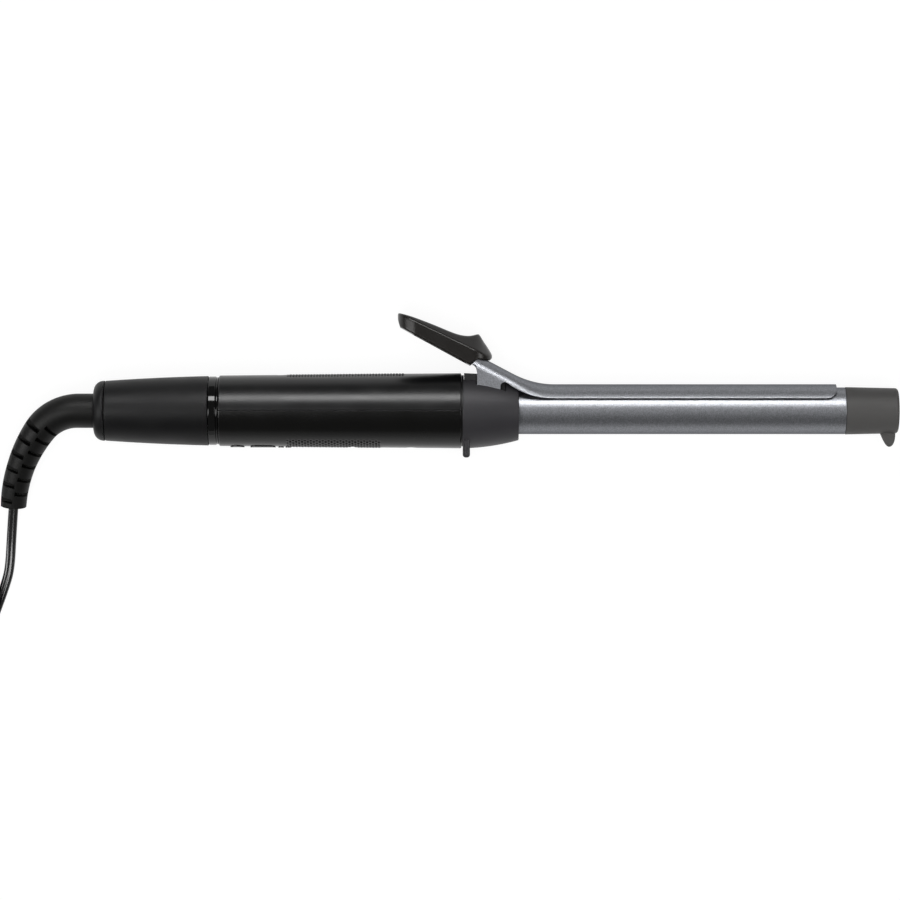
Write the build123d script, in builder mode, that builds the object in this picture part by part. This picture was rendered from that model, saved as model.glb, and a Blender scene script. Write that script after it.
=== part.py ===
"""Curling iron with a sprung clip, lying on its side on a table.

Millimetres. +X runs along the barrel towards the cool tip, +Y towards the thumb lever,
+Z up from the table. The origin is on the table, under the middle of the iron.
"""
import os
from math import asin, atan, cos, degrees, pi, radians, sin, sqrt, tan

from build123d import *

os.makedirs("parts", exist_ok=True)

# Clearances
FIT = 0.05
RUN = 0.30
SWIVEL_RUN = 0.20

# Lengths along the axis, from the rear cap to the cool tip
CAP_LENGTH = 4.6
SLEEVE_LENGTH = 42.2
RING_LENGTH = 3.2
RING_GROOVE = 1.0
GROOVE_DEPTH = 0.8
HANDLE_LENGTH = 98.5
COLLAR_GROOVE = 0.6
COLLAR_LENGTH = 22.8
BARREL_REACH = 132.8
TIP_LENGTH = 21.5

# Radii of the turned pieces
CAP_R = 12.2
CAP_CORNER = 4.0
CAP_FACE = 2.2
SLEEVE_FRONT_R = 14.15
SLEEVE_WALL = 2.0
SLEEVE_CROWN = 0.25
RING_R = 14.0
RING_EDGE = 0.3
HANDLE_REAR_R = 14.35
HANDLE_FRONT_R = 15.3
HANDLE_EDGE = 0.6
SHELL_BORE_R = 12.2
COLLAR_FRONT_R = 11.95
COLLAR_CROWN = 0.75
COLLAR_EDGE = 0.5
COLLAR_WALL = 1.9
COLLAR_NOSE = 3.0
BARREL_R = 9.5
BARREL_WALL = 0.8
TIP_ROOT_R = 9.65
TIP_END_R = 9.2
TIP_CORNER = 1.1
TIP_SPIGOT = 7.0
SPIGOT_WALL = 1.7
SLEEVE_SPIGOT = 7.1
COLLAR_SPIGOT = 12.2
BARREL_TAIL = 5.0

# Feet under the collar and fin under the tip
FOOT_REACH = 19.05
FOOT_THICKNESS = 2.9
FOOT_WIDTH = 3.4
FOOT_SPREAD = 19.2
FIN_REACH = 14.7
FIN_LENGTH = 6.3
FIN_THICKNESS = 3.2
FIN_SETBACK = 1.0
FIN_PROFILE = [(0, 0), (0.3, 0.7), (0.61, 1), (0.8, 0.89), (0.92, 0.66), (1, 0)]

# Formed clip
CLIP_GAP = 0.3
CLIP_SHEET = 0.5
CLIP_END_GAP = 3.8
CLIP_HALF_ANGLE = 62.0
CLIP_END_CORNER = 4.0
RAMP_ANGLE = 27.8
RAMP_BEND_R = 37.0
RAMP_FOOT = 5.4
SADDLE_CORNER = 5.5
SADDLE_REAR = 3.9
SADDLE_DROP = 4.3
SADDLE_LIP = 0.3
SADDLE_LIP_DROP = 1.2
EAR_REAR = 5.85
EAR_LENGTH = 9.3
EAR_DEPTH = 1.9
EAR_NOTCH = 2.0
CLIP_EDGE_ANGLE = 33.0
CLIP_EDGE_FOOT = 4.7
CLIP_EDGE_BEND_R = 30.0

# Hinge of the clip
PIN_SETBACK = 8.2
PIN_HEIGHT = 12.6
PIN_R = 1.1
BRACKET_SHEET = 0.8
BRACKET_BOSS_R = 2.2
BRACKET_REAR = 1.9
BRACKET_FRONT = 3.6
BLOCK_HALF_WIDTH = 8.4
BLOCK_TOP = 15.2
BLOCK_LENGTH = 16.5
BLOCK_FRONT = 2.2
SPRING_WIRE_R = 0.4
SPRING_R = 1.85
SPRING_PITCH = 1.3
SPRING_TURNS = 4
SPRING_LEG = 2.5

# Thumb lever
LEVER_WIDTH = 19.0
LEVER_CORNER = 7.5
LEVER_WALL = 1.8
LEVER_TAIL_HEIGHT = 39.9
LEVER_TAIL_DEPTH = 5.9
LEVER_LENGTH = 38.3
LEVER_NOSE_SETBACK = 11.9
LEVER_FOOT = 9.1
LEVER_STOP_HEIGHT = 31.0
LEVER_STOP = 5.6
LEVER_DIP = 13.2
LEVER_RIM_DROP = 0.2
LEVER_RIM_NOSE = 3.0
LEVER_SLANT = 45.0
LEVER_TOP_WALL = 3.2
RIVET_R = 0.6
RIVET_HEAD_R = 0.9
RIVET_HEAD = 0.5
RIVET_PITCH = 1.8
RIVET_SHIFT = 0.4
RIVET_REACH = 2.2

# Keys on the underside
KEY_PROUD = 0.45
KEY_GAP = 0.30
KEY_FLANGE = 0.9
KEY_FLANGE_THICKNESS = 1.0
KEY_TRAVEL = 0.6
POWER_KEY_R = 2.9
POWER_KEY_SETBACK = 7.4
ROCKER_LENGTH = 10.2
ROCKER_WIDTH = 6.0
ROCKER_SETBACK = 17.8
ROCKER_SWING = 3.0
ROCKER_BACK = 1.0
PIVOT_R = 0.6
PIVOT_REACH = 1.2
LENS_R = 1.1
LENS_PITCH = 2.9
LENS_SETBACK = 26.6

# Heater and electronics
CLAMP_LENGTH = 112.0
CLAMP_SETBACK = 8.0
HEATER_LENGTH = 100.0
HEATER_WIDTH = 12.0
HEATER_THICKNESS = 2.4
LEAD_R = 0.8
LEAD_SPREAD = 5.0
FUSE_R = 1.7
FUSE_LENGTH = 9.0
BEAD_R = 0.9
BEAD_LENGTH = 5.0
BOARD_GAP = 3.2
BOARD_WIDTH = 19.2
BOARD_THICKNESS = 1.6
BOARD_DROP = 5.2
SWITCH_HEIGHT = 3.0
SWITCH_SIZE = 5.0
PLUNGER_R = 1.5
PLUNGER = 0.6
RELAY_LENGTH = 12.0
RELAY_WIDTH = 9.0
RELAY_HEIGHT = 8.0
CAN_R = 3.0
CAN_HEIGHT = 9.0
TRIAC_LENGTH = 4.6
TRIAC_WIDTH = 10.0
TRIAC_HEIGHT = 6.5
RAIL_WIDTH = 2.0
BOSS_R = 2.8
BOSS_WALL = 0.8
SCREW_R = 1.0
SCREW_HEAD_R = 2.2
SCREW_HEAD = 1.8
SCREW_SEAT = 7.0
SCREW_PITCH = 24.0
FRAME_SCREW_R = 0.9
FRAME_HEAD_R = 1.7

# Cord swivel and strain relief
NECK_R = 7.0
NECK_RUN = 8.6
ELBOW_R = 11.9
ELBOW_TURN = 55.0
TAPER_R = 81.9
TAPER_TURN = 26.4
WAIST_R = 6.75
TAPER_MID_R = 5.95
RELIEF_END_R = 5.2
RELIEF_LIFT = 0.5
SLOT_COUNT = 6
SLOT_PITCH = 6.3
SLOT_OUTER_START = 2.6
SLOT_INNER_START = 0.4
SLOT_OUTER_WIDTH = 1.6
SLOT_INNER_WIDTH = 1.3
SLOT_FLOOR = 1.6
SLOT_WEB = 0.3
ROTOR_FLANGE_R = 8.6
ROTOR_FLANGE = 1.5
ROTOR_STEM_R = 3.4
ROTOR_STEM = 20.0
ROTOR_SPIGOT_R = 4.0
ROTOR_SPIGOT = 8.0
SLIP_RING_R = 4.2
SLIP_RING_WIDTH = 3.0
SLIP_RING_PITCH = 6.0
SOCKET_WALL = 1.8
BRUSH_SHEET = 0.4

# Twin flex and plug
CORD_WIDTH = 4.0
CORD_THICKNESS = 2.3
CORD_WAIST = 1.5
CORD_LIFT = 0.5
COIL_R = 26.5
COIL_PITCH = 4.6
COIL_LAYER = 2.9
COIL_TURNS = 3
COIL_LAYERS = 4
COIL_X = -213.0
COIL_Y = -77.7
COIL_ENTRY = 20.0
TIE_SHEET = 0.4
TIE_WIDTH = 8.0
TIE_GAP = 0.3
TIE_ANGLE = 70.0
TIE_CORNER = 0.8
PLUG_LENGTH = 37.0
PLUG_FACE_WIDTH = 35.3
PLUG_REAR_WIDTH = 14.0
PLUG_THICKNESS = 13.7
PLUG_REAR_THICKNESS = 9.0
PLUG_RIM = 9.0
PLUG_CORNER = 6.0
PLUG_PIN_R = 2.0
PLUG_ROOT_R = 1.7
PLUG_PIN_LENGTH = 19.0
PLUG_PIN_PITCH = 18.6
PLUG_PIN_SEAT = 6.0
PLUG_EYE = 0.5

# Stations along the axis
IRON_LENGTH = (CAP_LENGTH + SLEEVE_LENGTH + RING_LENGTH + RING_GROOVE + HANDLE_LENGTH
               + COLLAR_GROOVE + COLLAR_LENGTH + BARREL_REACH + TIP_LENGTH)
RELIEF_REACH = (NECK_RUN + ELBOW_R * sin(radians(ELBOW_TURN))
                + TAPER_R * (sin(radians(ELBOW_TURN + TAPER_TURN)) - sin(radians(ELBOW_TURN)))
                + RELIEF_END_R * cos(radians(90 - ELBOW_TURN - TAPER_TURN)))
CAP_X = (RELIEF_REACH - IRON_LENGTH) / 2
SLEEVE_X = CAP_X + CAP_LENGTH
RING_X = SLEEVE_X + SLEEVE_LENGTH
RING_END_X = RING_X + RING_LENGTH
HANDLE_X = RING_END_X + RING_GROOVE
HANDLE_END_X = HANDLE_X + HANDLE_LENGTH
COLLAR_X = HANDLE_END_X + COLLAR_GROOVE
COLLAR_END_X = COLLAR_X + COLLAR_LENGTH
TIP_X = COLLAR_END_X + BARREL_REACH
TIP_END_X = TIP_X + TIP_LENGTH

AXIS_Z = HANDLE_FRONT_R
SPIGOT_R = SHELL_BORE_R - FIT
SIDE = Plane(origin=(0, 0, AXIS_Z), x_dir=(1, 0, 0), z_dir=(0, 0, 1))
CENTRE = Axis((0, 0, AXIS_Z), (1, 0, 0))


def across(x):
    """Plane square to the axis: local x is Y, local y is Z."""
    return Plane(origin=(x, 0, AXIS_Z), x_dir=(0, 1, 0), z_dir=(1, 0, 0))


def level(y):
    """Plane square to Y at height y on the lever's side: local x is X."""
    return Plane(origin=(0, y, AXIS_Z), x_dir=(1, 0, 0), z_dir=(0, 1, 0))


def span(x0, x1, r0, r1):
    """Rectangle in the side plane between two stations and two radii."""
    with Locations(((x0 + x1) / 2, (r0 + r1) / 2)):
        Rectangle(x1 - x0, r1 - r0)


def round_corner(point, radius):
    """Round the corner of the sketch at a point."""
    fillet(vertices().sort_by_distance(point)[0], radius)


def handle_outline():
    """Outer line of the handle shells in the side plane, rear to front."""
    return Line((HANDLE_X, HANDLE_REAR_R), (HANDLE_END_X, HANDLE_FRONT_R))


def handle_radius(x):
    """Radius of the handle's surface at a station."""
    return HANDLE_REAR_R + (HANDLE_FRONT_R - HANDLE_REAR_R) * (x - HANDLE_X) / HANDLE_LENGTH


# Barrel, from inside the handle to the cool tip
BARREL_REAR_X = COLLAR_X - COLLAR_SPIGOT - BARREL_TAIL
with BuildPart() as barrel:
    with BuildSketch(SIDE):
        span(BARREL_REAR_X, TIP_X, BARREL_R - BARREL_WALL, BARREL_R)
    revolve(axis=CENTRE)

# Cool tip: tapered cap, spigot in the barrel and a fin to rest on
FIN_X = TIP_END_X - FIN_SETBACK - FIN_LENGTH
with BuildPart() as cool_tip:
    with BuildSketch(SIDE):
        with BuildLine():
            Polyline(
                (TIP_X - TIP_SPIGOT, 0),
                (TIP_X - TIP_SPIGOT, BARREL_R - BARREL_WALL - FIT),
                (TIP_X, BARREL_R - BARREL_WALL - FIT),
                (TIP_X, TIP_ROOT_R),
                (TIP_END_X - TIP_CORNER, TIP_END_R),
            )
            TangentArc((TIP_END_X - TIP_CORNER, TIP_END_R), (TIP_END_X, TIP_END_R - TIP_CORNER), tangent=(1, 0))
            Polyline((TIP_END_X, TIP_END_R - TIP_CORNER), (TIP_END_X, 0), (TIP_X - TIP_SPIGOT, 0))
        make_face()
    revolve(axis=CENTRE)
    with BuildSketch(SIDE):
        with BuildLine():
            Line((FIN_X, -TIP_END_R / 2), (FIN_X, -TIP_END_R))
            Spline(*[(FIN_X + run * FIN_LENGTH, -TIP_END_R - rise * (FIN_REACH - TIP_END_R)) for run, rise in FIN_PROFILE])
            Line((FIN_X + FIN_LENGTH, -TIP_END_R), (FIN_X + FIN_LENGTH, -TIP_END_R / 2))
            Line((FIN_X + FIN_LENGTH, -TIP_END_R / 2), (FIN_X, -TIP_END_R / 2))
        make_face()
    extrude(amount=FIN_THICKNESS / 2, both=True)

# Handle: two half shells that part at the middle of the side, with screw bosses inside
BOSS_X = BARREL_REAR_X - RUN - BOSS_R - BOSS_WALL
SCREW_X = [BOSS_X - SCREW_PITCH, BOSS_X]
POWER_X = HANDLE_X + POWER_KEY_SETBACK
ROCKER_X = HANDLE_X + ROCKER_SETBACK
LENS_X = [HANDLE_X + LENS_SETBACK - LENS_PITCH / 2, HANDLE_X + LENS_SETBACK + LENS_PITCH / 2]
BOARD_X = HANDLE_X + SLEEVE_SPIGOT - RING_LENGTH - RING_GROOVE + RUN
BOARD_LENGTH = SCREW_X[0] - BOSS_R - BOSS_WALL - BOARD_GAP - BOARD_X
BOARD_Y = -BOARD_DROP
RAIL_Z = BOARD_WIDTH / 2 - RAIL_WIDTH / 2
PIVOT_Y = PIVOT_R - SHELL_BORE_R

with BuildPart() as lever_side_shell:
    with BuildSketch(SIDE):
        with BuildLine():
            top = handle_outline()
            Polyline(top @ 1, (HANDLE_END_X, SHELL_BORE_R), (HANDLE_X, SHELL_BORE_R), top @ 0)
        make_face()
        round_corner((HANDLE_END_X, HANDLE_FRONT_R), COLLAR_EDGE)
        round_corner((HANDLE_X, HANDLE_REAR_R), HANDLE_EDGE)
    revolve(axis=CENTRE)
    split(bisect_by=Plane.XZ, keep=Keep.BOTTOM)
    with BuildSketch(level(0)):
        with Locations(*[(x, 0) for x in SCREW_X]):
            Circle(BOSS_R)
    extrude(amount=SHELL_BORE_R + 0.4)
    with BuildSketch(level(0)):
        with Locations(*[(x, 0) for x in SCREW_X]):
            Circle(SCREW_R)
    extrude(amount=SHELL_BORE_R - 2.0, mode=Mode.SUBTRACT)

with BuildPart() as underside_shell:
    with BuildSketch(SIDE):
        with BuildLine():
            top = handle_outline()
            Polyline(top @ 1, (HANDLE_END_X, SHELL_BORE_R), (HANDLE_X, SHELL_BORE_R), top @ 0)
        make_face()
        round_corner((HANDLE_END_X, HANDLE_FRONT_R), COLLAR_EDGE)
        round_corner((HANDLE_X, HANDLE_REAR_R), HANDLE_EDGE)
    revolve(axis=CENTRE)
    split(bisect_by=Plane.XZ, keep=Keep.TOP)
    with BuildSketch(level(0)):
        with Locations(*[(x, 0) for x in SCREW_X]):
            Circle(BOSS_R + BOSS_WALL)
    extrude(amount=-SHELL_BORE_R - 0.4)
    with BuildSketch(level(0)):
        with Locations(*[(x, 0) for x in SCREW_X]):
            Circle(SCREW_R + FIT)
    extrude(amount=-SHELL_BORE_R, mode=Mode.SUBTRACT)
    with BuildSketch(level(-SCREW_SEAT)):
        with Locations(*[(x, 0) for x in SCREW_X]):
            Circle(SCREW_HEAD_R + FIT)
    extrude(amount=-HANDLE_FRONT_R, mode=Mode.SUBTRACT)
    with BuildSketch(level(BOARD_Y)):
        with Locations((BOARD_X + BOARD_LENGTH / 2, RAIL_Z), (BOARD_X + BOARD_LENGTH / 2, -RAIL_Z)):
            Rectangle(BOARD_LENGTH, RAIL_WIDTH)
    extrude(amount=-(sqrt(SHELL_BORE_R ** 2 - (RAIL_Z - RAIL_WIDTH / 2) ** 2) - BOARD_DROP + 0.4))
    with BuildSketch(level(BOARD_Y - SWITCH_HEIGHT)):
        with Locations((POWER_X, 0)):
            Circle(POWER_KEY_R + KEY_GAP)
        with Locations((ROCKER_X, 0)):
            RectangleRounded(ROCKER_LENGTH + 2 * KEY_GAP, ROCKER_WIDTH + 2 * KEY_GAP, ROCKER_WIDTH / 3 + KEY_GAP)
        with Locations(*[(x, 0) for x in LENS_X]):
            Circle(LENS_R + FIT)
    extrude(amount=-HANDLE_FRONT_R, mode=Mode.SUBTRACT)
    with BuildSketch(SIDE):
        with Locations((ROCKER_X, PIVOT_Y)):
            Circle(PIVOT_R + FIT)
    extrude(amount=ROCKER_WIDTH / 2 + PIVOT_REACH + RUN, both=True, mode=Mode.SUBTRACT)

# Trim ring on the sleeve's spigot
with BuildPart() as trim_ring:
    with BuildSketch(SIDE):
        span(RING_X, RING_END_X, SPIGOT_R + FIT, RING_R)
        round_corner((RING_X, RING_R), RING_EDGE)
        round_corner((RING_END_X, RING_R), RING_EDGE)
        span(RING_END_X - RING_EDGE, HANDLE_X - FIT, SPIGOT_R + FIT, RING_R - GROOVE_DEPTH)
    revolve(axis=CENTRE)

# Rear sleeve: a slightly barrelled taper with a spigot that enters the shells
SPIGOT_BORE_R = SPIGOT_R - SPIGOT_WALL
with BuildPart() as rear_sleeve:
    with BuildSketch(SIDE):
        with BuildLine():
            middle = ((SLEEVE_X + RING_X) / 2, (CAP_R + SLEEVE_FRONT_R) / 2 + SLEEVE_CROWN)
            ThreePointArc((SLEEVE_X, CAP_R), middle, (RING_X, SLEEVE_FRONT_R))
            Polyline(
                (RING_X, SLEEVE_FRONT_R),
                (RING_X, SPIGOT_R),
                (RING_X + SLEEVE_SPIGOT, SPIGOT_R),
                (RING_X + SLEEVE_SPIGOT, SPIGOT_BORE_R),
                (RING_X, SPIGOT_BORE_R),
                (SLEEVE_X, CAP_R - SLEEVE_WALL),
                (SLEEVE_X, CAP_R),
            )
        make_face()
    revolve(axis=CENTRE)

# Rear cap with the swivel's hole
CAP_HOLE_R = NECK_R + SWIVEL_RUN
with BuildPart() as rear_cap:
    with BuildSketch(SIDE):
        with BuildLine():
            Line((CAP_X, CAP_HOLE_R), (CAP_X, CAP_R - CAP_CORNER))
            TangentArc((CAP_X, CAP_R - CAP_CORNER), (CAP_X + CAP_CORNER, CAP_R), tangent=(0, 1))
            Polyline(
                (CAP_X + CAP_CORNER, CAP_R),
                (SLEEVE_X, CAP_R),
                (SLEEVE_X, CAP_R - SLEEVE_WALL),
                (CAP_X + CAP_FACE, CAP_R - SLEEVE_WALL),
                (CAP_X + CAP_FACE, CAP_HOLE_R),
                (CAP_X, CAP_HOLE_R),
            )
        make_face()
    revolve(axis=CENTRE)

# Front collar: convex cone with a stepped window over the hinge, and two feet
SEAT_R = SPIGOT_R - 1.2
COLLAR_BORE_R = BARREL_R + RUN
CLIP_R = BARREL_R + CLIP_GAP + CLIP_SHEET
EAR_X = COLLAR_X + EAR_REAR
WINDOW_Z = CLIP_R + KEY_GAP
FOOT_Z = FOOT_SPREAD / 2 - FOOT_WIDTH / 2
FRAME_SCREW_X = COLLAR_X - COLLAR_SPIGOT / 2
with BuildPart() as collar:
    with BuildSketch(SIDE):
        with BuildLine():
            middle = ((COLLAR_X + COLLAR_END_X) / 2, (HANDLE_FRONT_R + COLLAR_FRONT_R) / 2 + COLLAR_CROWN)
            ThreePointArc((COLLAR_X, HANDLE_FRONT_R), middle, (COLLAR_END_X, COLLAR_FRONT_R))
            Polyline(
                (COLLAR_END_X, COLLAR_FRONT_R),
                (COLLAR_END_X, COLLAR_BORE_R),
                (COLLAR_END_X - COLLAR_NOSE, COLLAR_BORE_R),
                (COLLAR_END_X - COLLAR_NOSE, COLLAR_FRONT_R - 0.4),
                (COLLAR_X + COLLAR_WALL, HANDLE_FRONT_R - COLLAR_WALL),
                (COLLAR_X + COLLAR_WALL, SEAT_R),
                (COLLAR_X - COLLAR_SPIGOT, SEAT_R),
                (COLLAR_X - COLLAR_SPIGOT, SPIGOT_R),
                (COLLAR_X - COLLAR_GROOVE + FIT, SPIGOT_R),
                (COLLAR_X - COLLAR_GROOVE + FIT, HANDLE_FRONT_R - GROOVE_DEPTH),
                (COLLAR_X, HANDLE_FRONT_R - GROOVE_DEPTH),
                (COLLAR_X, HANDLE_FRONT_R),
            )
        make_face()
        round_corner((COLLAR_END_X, COLLAR_FRONT_R), COLLAR_EDGE)
    revolve(axis=CENTRE)
    with BuildSketch(level(SEAT_R / 2)):
        with Locations((COLLAR_X + EAR_REAR / 2 + 0.25, 0)):
            Rectangle(EAR_REAR - 0.5, 2 * (BLOCK_HALF_WIDTH + FIT))
    extrude(amount=HANDLE_FRONT_R, mode=Mode.SUBTRACT)
    with BuildSketch(level(SEAT_R / 2)):
        with Locations((EAR_X + (EAR_LENGTH + EAR_NOTCH) / 2, 0)):
            Rectangle(EAR_LENGTH + EAR_NOTCH + 2 * RUN, 2 * WINDOW_Z)
    extrude(amount=HANDLE_FRONT_R, mode=Mode.SUBTRACT)
    with BuildSketch(Plane.YZ.offset(COLLAR_X)):
        for side in (1, -1):
            with Locations((-(FOOT_REACH + SEAT_R) / 2 + 0.5, AXIS_Z + side * FOOT_Z)):
                RectangleRounded(FOOT_REACH - SEAT_R + 1.0, FOOT_WIDTH, 1.2)
    extrude(amount=FOOT_THICKNESS)
    for side in (1, -1):
        with Locations(Plane(origin=(FRAME_SCREW_X, 0, AXIS_Z + side * SPIGOT_R), x_dir=(1, 0, 0), z_dir=(0, 0, side))):
            CounterSinkHole(FRAME_SCREW_R + FIT, FRAME_HEAD_R + FIT, depth=2 * FRAME_HEAD_R, counter_sink_angle=90)

# Hinge block: inner moulding with a seat for the barrel and a tower for the pin
PIN_X = COLLAR_X + PIN_SETBACK
BLOCK_X = COLLAR_X + 0.5 + FIT
SEAT_END_X = COLLAR_X + COLLAR_WALL + 1.0
SEAT_REAR_X = COLLAR_X - COLLAR_SPIGOT - 2.0
TOWER_BORE_R = BARREL_R + RUN
SPRING_ROOM = SPRING_R + SPRING_WIRE_R + RUN
SPRING_HALF = SPRING_TURNS * SPRING_PITCH / 2 + SPRING_PITCH / 2
with BuildPart() as hinge_block:
    with BuildSketch(SIDE):
        span(SEAT_REAR_X, SEAT_END_X, BARREL_R + FIT, SEAT_R - FIT)
    revolve(axis=CENTRE)
    with BuildSketch(SIDE):
        with BuildLine():
            Polyline(
                (BLOCK_X, 2.0),
                (BLOCK_X, BLOCK_TOP),
                (PIN_X + PIN_R + 1.5, BLOCK_TOP - 0.5),
                (BLOCK_X + BLOCK_LENGTH, TOWER_BORE_R + BLOCK_FRONT),
                (BLOCK_X + BLOCK_LENGTH, 2.0),
                close=True,
            )
        make_face()
    extrude(amount=BLOCK_HALF_WIDTH, both=True)
    with BuildSketch(across(SEAT_END_X)):
        Circle(TOWER_BORE_R)
    extrude(amount=BLOCK_LENGTH, mode=Mode.SUBTRACT)
    with BuildSketch(across(BLOCK_X)):
        Circle(BARREL_R + FIT)
    extrude(amount=BLOCK_LENGTH, mode=Mode.SUBTRACT)
    with BuildSketch(level(TOWER_BORE_R)):
        with Locations((PIN_X, 0)):
            Rectangle(2 * (SPRING_ROOM + 0.7), 2 * (SPRING_HALF + SPRING_WIRE_R + RUN))
    extrude(amount=BLOCK_TOP, mode=Mode.SUBTRACT)
    with BuildSketch(SIDE):
        with Locations((PIN_X, PIN_HEIGHT)):
            Circle(PIN_R + FIT / 2)
    extrude(amount=BLOCK_HALF_WIDTH, both=True, mode=Mode.SUBTRACT)
    with BuildSketch(SIDE):
        with Locations((FRAME_SCREW_X, 0)):
            Circle(FRAME_SCREW_R + FIT)
    extrude(amount=SEAT_R, both=True, mode=Mode.SUBTRACT)

# Frame screws: collar spigot to the barrel's seat
with BuildPart() as frame_screws:
    with BuildSketch(Plane(origin=(FRAME_SCREW_X, 0, AXIS_Z), x_dir=(1, 0, 0), z_dir=(0, 1, 0))):
        with BuildLine():
            Polyline(
                (0, BARREL_R + 2 * FIT),
                (FRAME_SCREW_R, BARREL_R + 2 * FIT),
                (FRAME_SCREW_R, SPIGOT_R - FRAME_HEAD_R + FRAME_SCREW_R),
                (FRAME_HEAD_R, SPIGOT_R - FIT),
                (0, SPIGOT_R - FIT),
                close=True,
            )
        make_face()
    revolve(axis=Axis((FRAME_SCREW_X, 0, AXIS_Z), (0, 0, 1)))
    mirror(about=SIDE)

# Formed clip: one sheet that hugs the barrel, bends up a ramp and folds down into ears.
# Every section is an arch: flat top, two round corners and two straight legs.
RAMP = radians(RAMP_ANGLE)
RAMP_X = COLLAR_END_X + RAMP_FOOT
BEND_REACH = RAMP_BEND_R * tan(RAMP / 2)
SADDLE_X = COLLAR_X + SADDLE_REAR
CLIP_END_X = TIP_X - CLIP_END_GAP
EAR_END_X = EAR_X + EAR_LENGTH
SLANT = (cos(RAMP), -sin(RAMP), 0)
BEND_STEPS = 4


def ramp_height(x):
    """Height of the ramp's outer line above the axis."""
    return CLIP_R + (RAMP_X - x) * tan(RAMP)


RIVET_X = [PIN_X + RIVET_SHIFT - RIVET_PITCH / 2, PIN_X + RIVET_SHIFT + RIVET_PITCH / 2]
RIVET_NORMAL = Vector(sin(RAMP), cos(RAMP), 0)


def rivet_plane(x, rise):
    """Plane on the ramp at a station, raised along the ramp's normal."""
    foot = Vector(x, ramp_height(x), AXIS_Z)
    return Plane(origin=foot + RIVET_NORMAL * rise, x_dir=(0, 0, 1), z_dir=RIVET_NORMAL)


def rivet_holes(rise, depth):
    """Holes for both rivets, from a level under the ramp's line upwards."""
    for x in RIVET_X:
        with BuildSketch(rivet_plane(x, rise)) as hole:
            Circle(RIVET_R + FIT)
        extrude(hole.sketch, amount=depth, mode=Mode.SUBTRACT)


def arch(x, top, corner, half_width, foot):
    """Filled arch on a plane square to the axis, from its foot up to its top."""
    with BuildSketch(across(x)) as face:
        with Locations(((top + foot) / 2, 0)):
            Rectangle(top - foot, 2 * half_width)
        fillet(face.vertices().group_by(Axis.X)[-1], corner)
    return face.sketch


def clip_body(inset, mode):
    """Filled form of the clip, set in by a sheet's thickness."""
    steep = inset / cos(RAMP)
    x0 = RAMP_X - BEND_REACH * cos(RAMP)
    half = CLIP_R - inset
    saddle = arch(SADDLE_X, ramp_height(SADDLE_X) - steep, SADDLE_CORNER - inset, half, 0)
    extrude(saddle, amount=(x0 - SADDLE_X) / cos(RAMP), dir=SLANT, mode=mode)
    bend = []
    for step in range(BEND_STEPS + 1):
        share = step / BEND_STEPS
        turn = RAMP * (share - 1)
        x = RAMP_X + BEND_REACH + RAMP_BEND_R * sin(turn)
        top = CLIP_R + RAMP_BEND_R * (1 - cos(turn)) - inset / cos(turn)
        ease = share * share * (3 - 2 * share)
        corner = SADDLE_CORNER + (CLIP_R - 0.1 - SADDLE_CORNER) * ease - inset
        bend.append(arch(x, top, corner, half, -(x0 - SADDLE_X) * tan(RAMP)))
    loft(bend, mode=mode)
    tongue = arch(RAMP_X + BEND_REACH, CLIP_R - inset, CLIP_R - 0.1 - inset, half, 0)
    extrude(tongue, amount=CLIP_END_X - RAMP_X - BEND_REACH, mode=mode)


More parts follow.
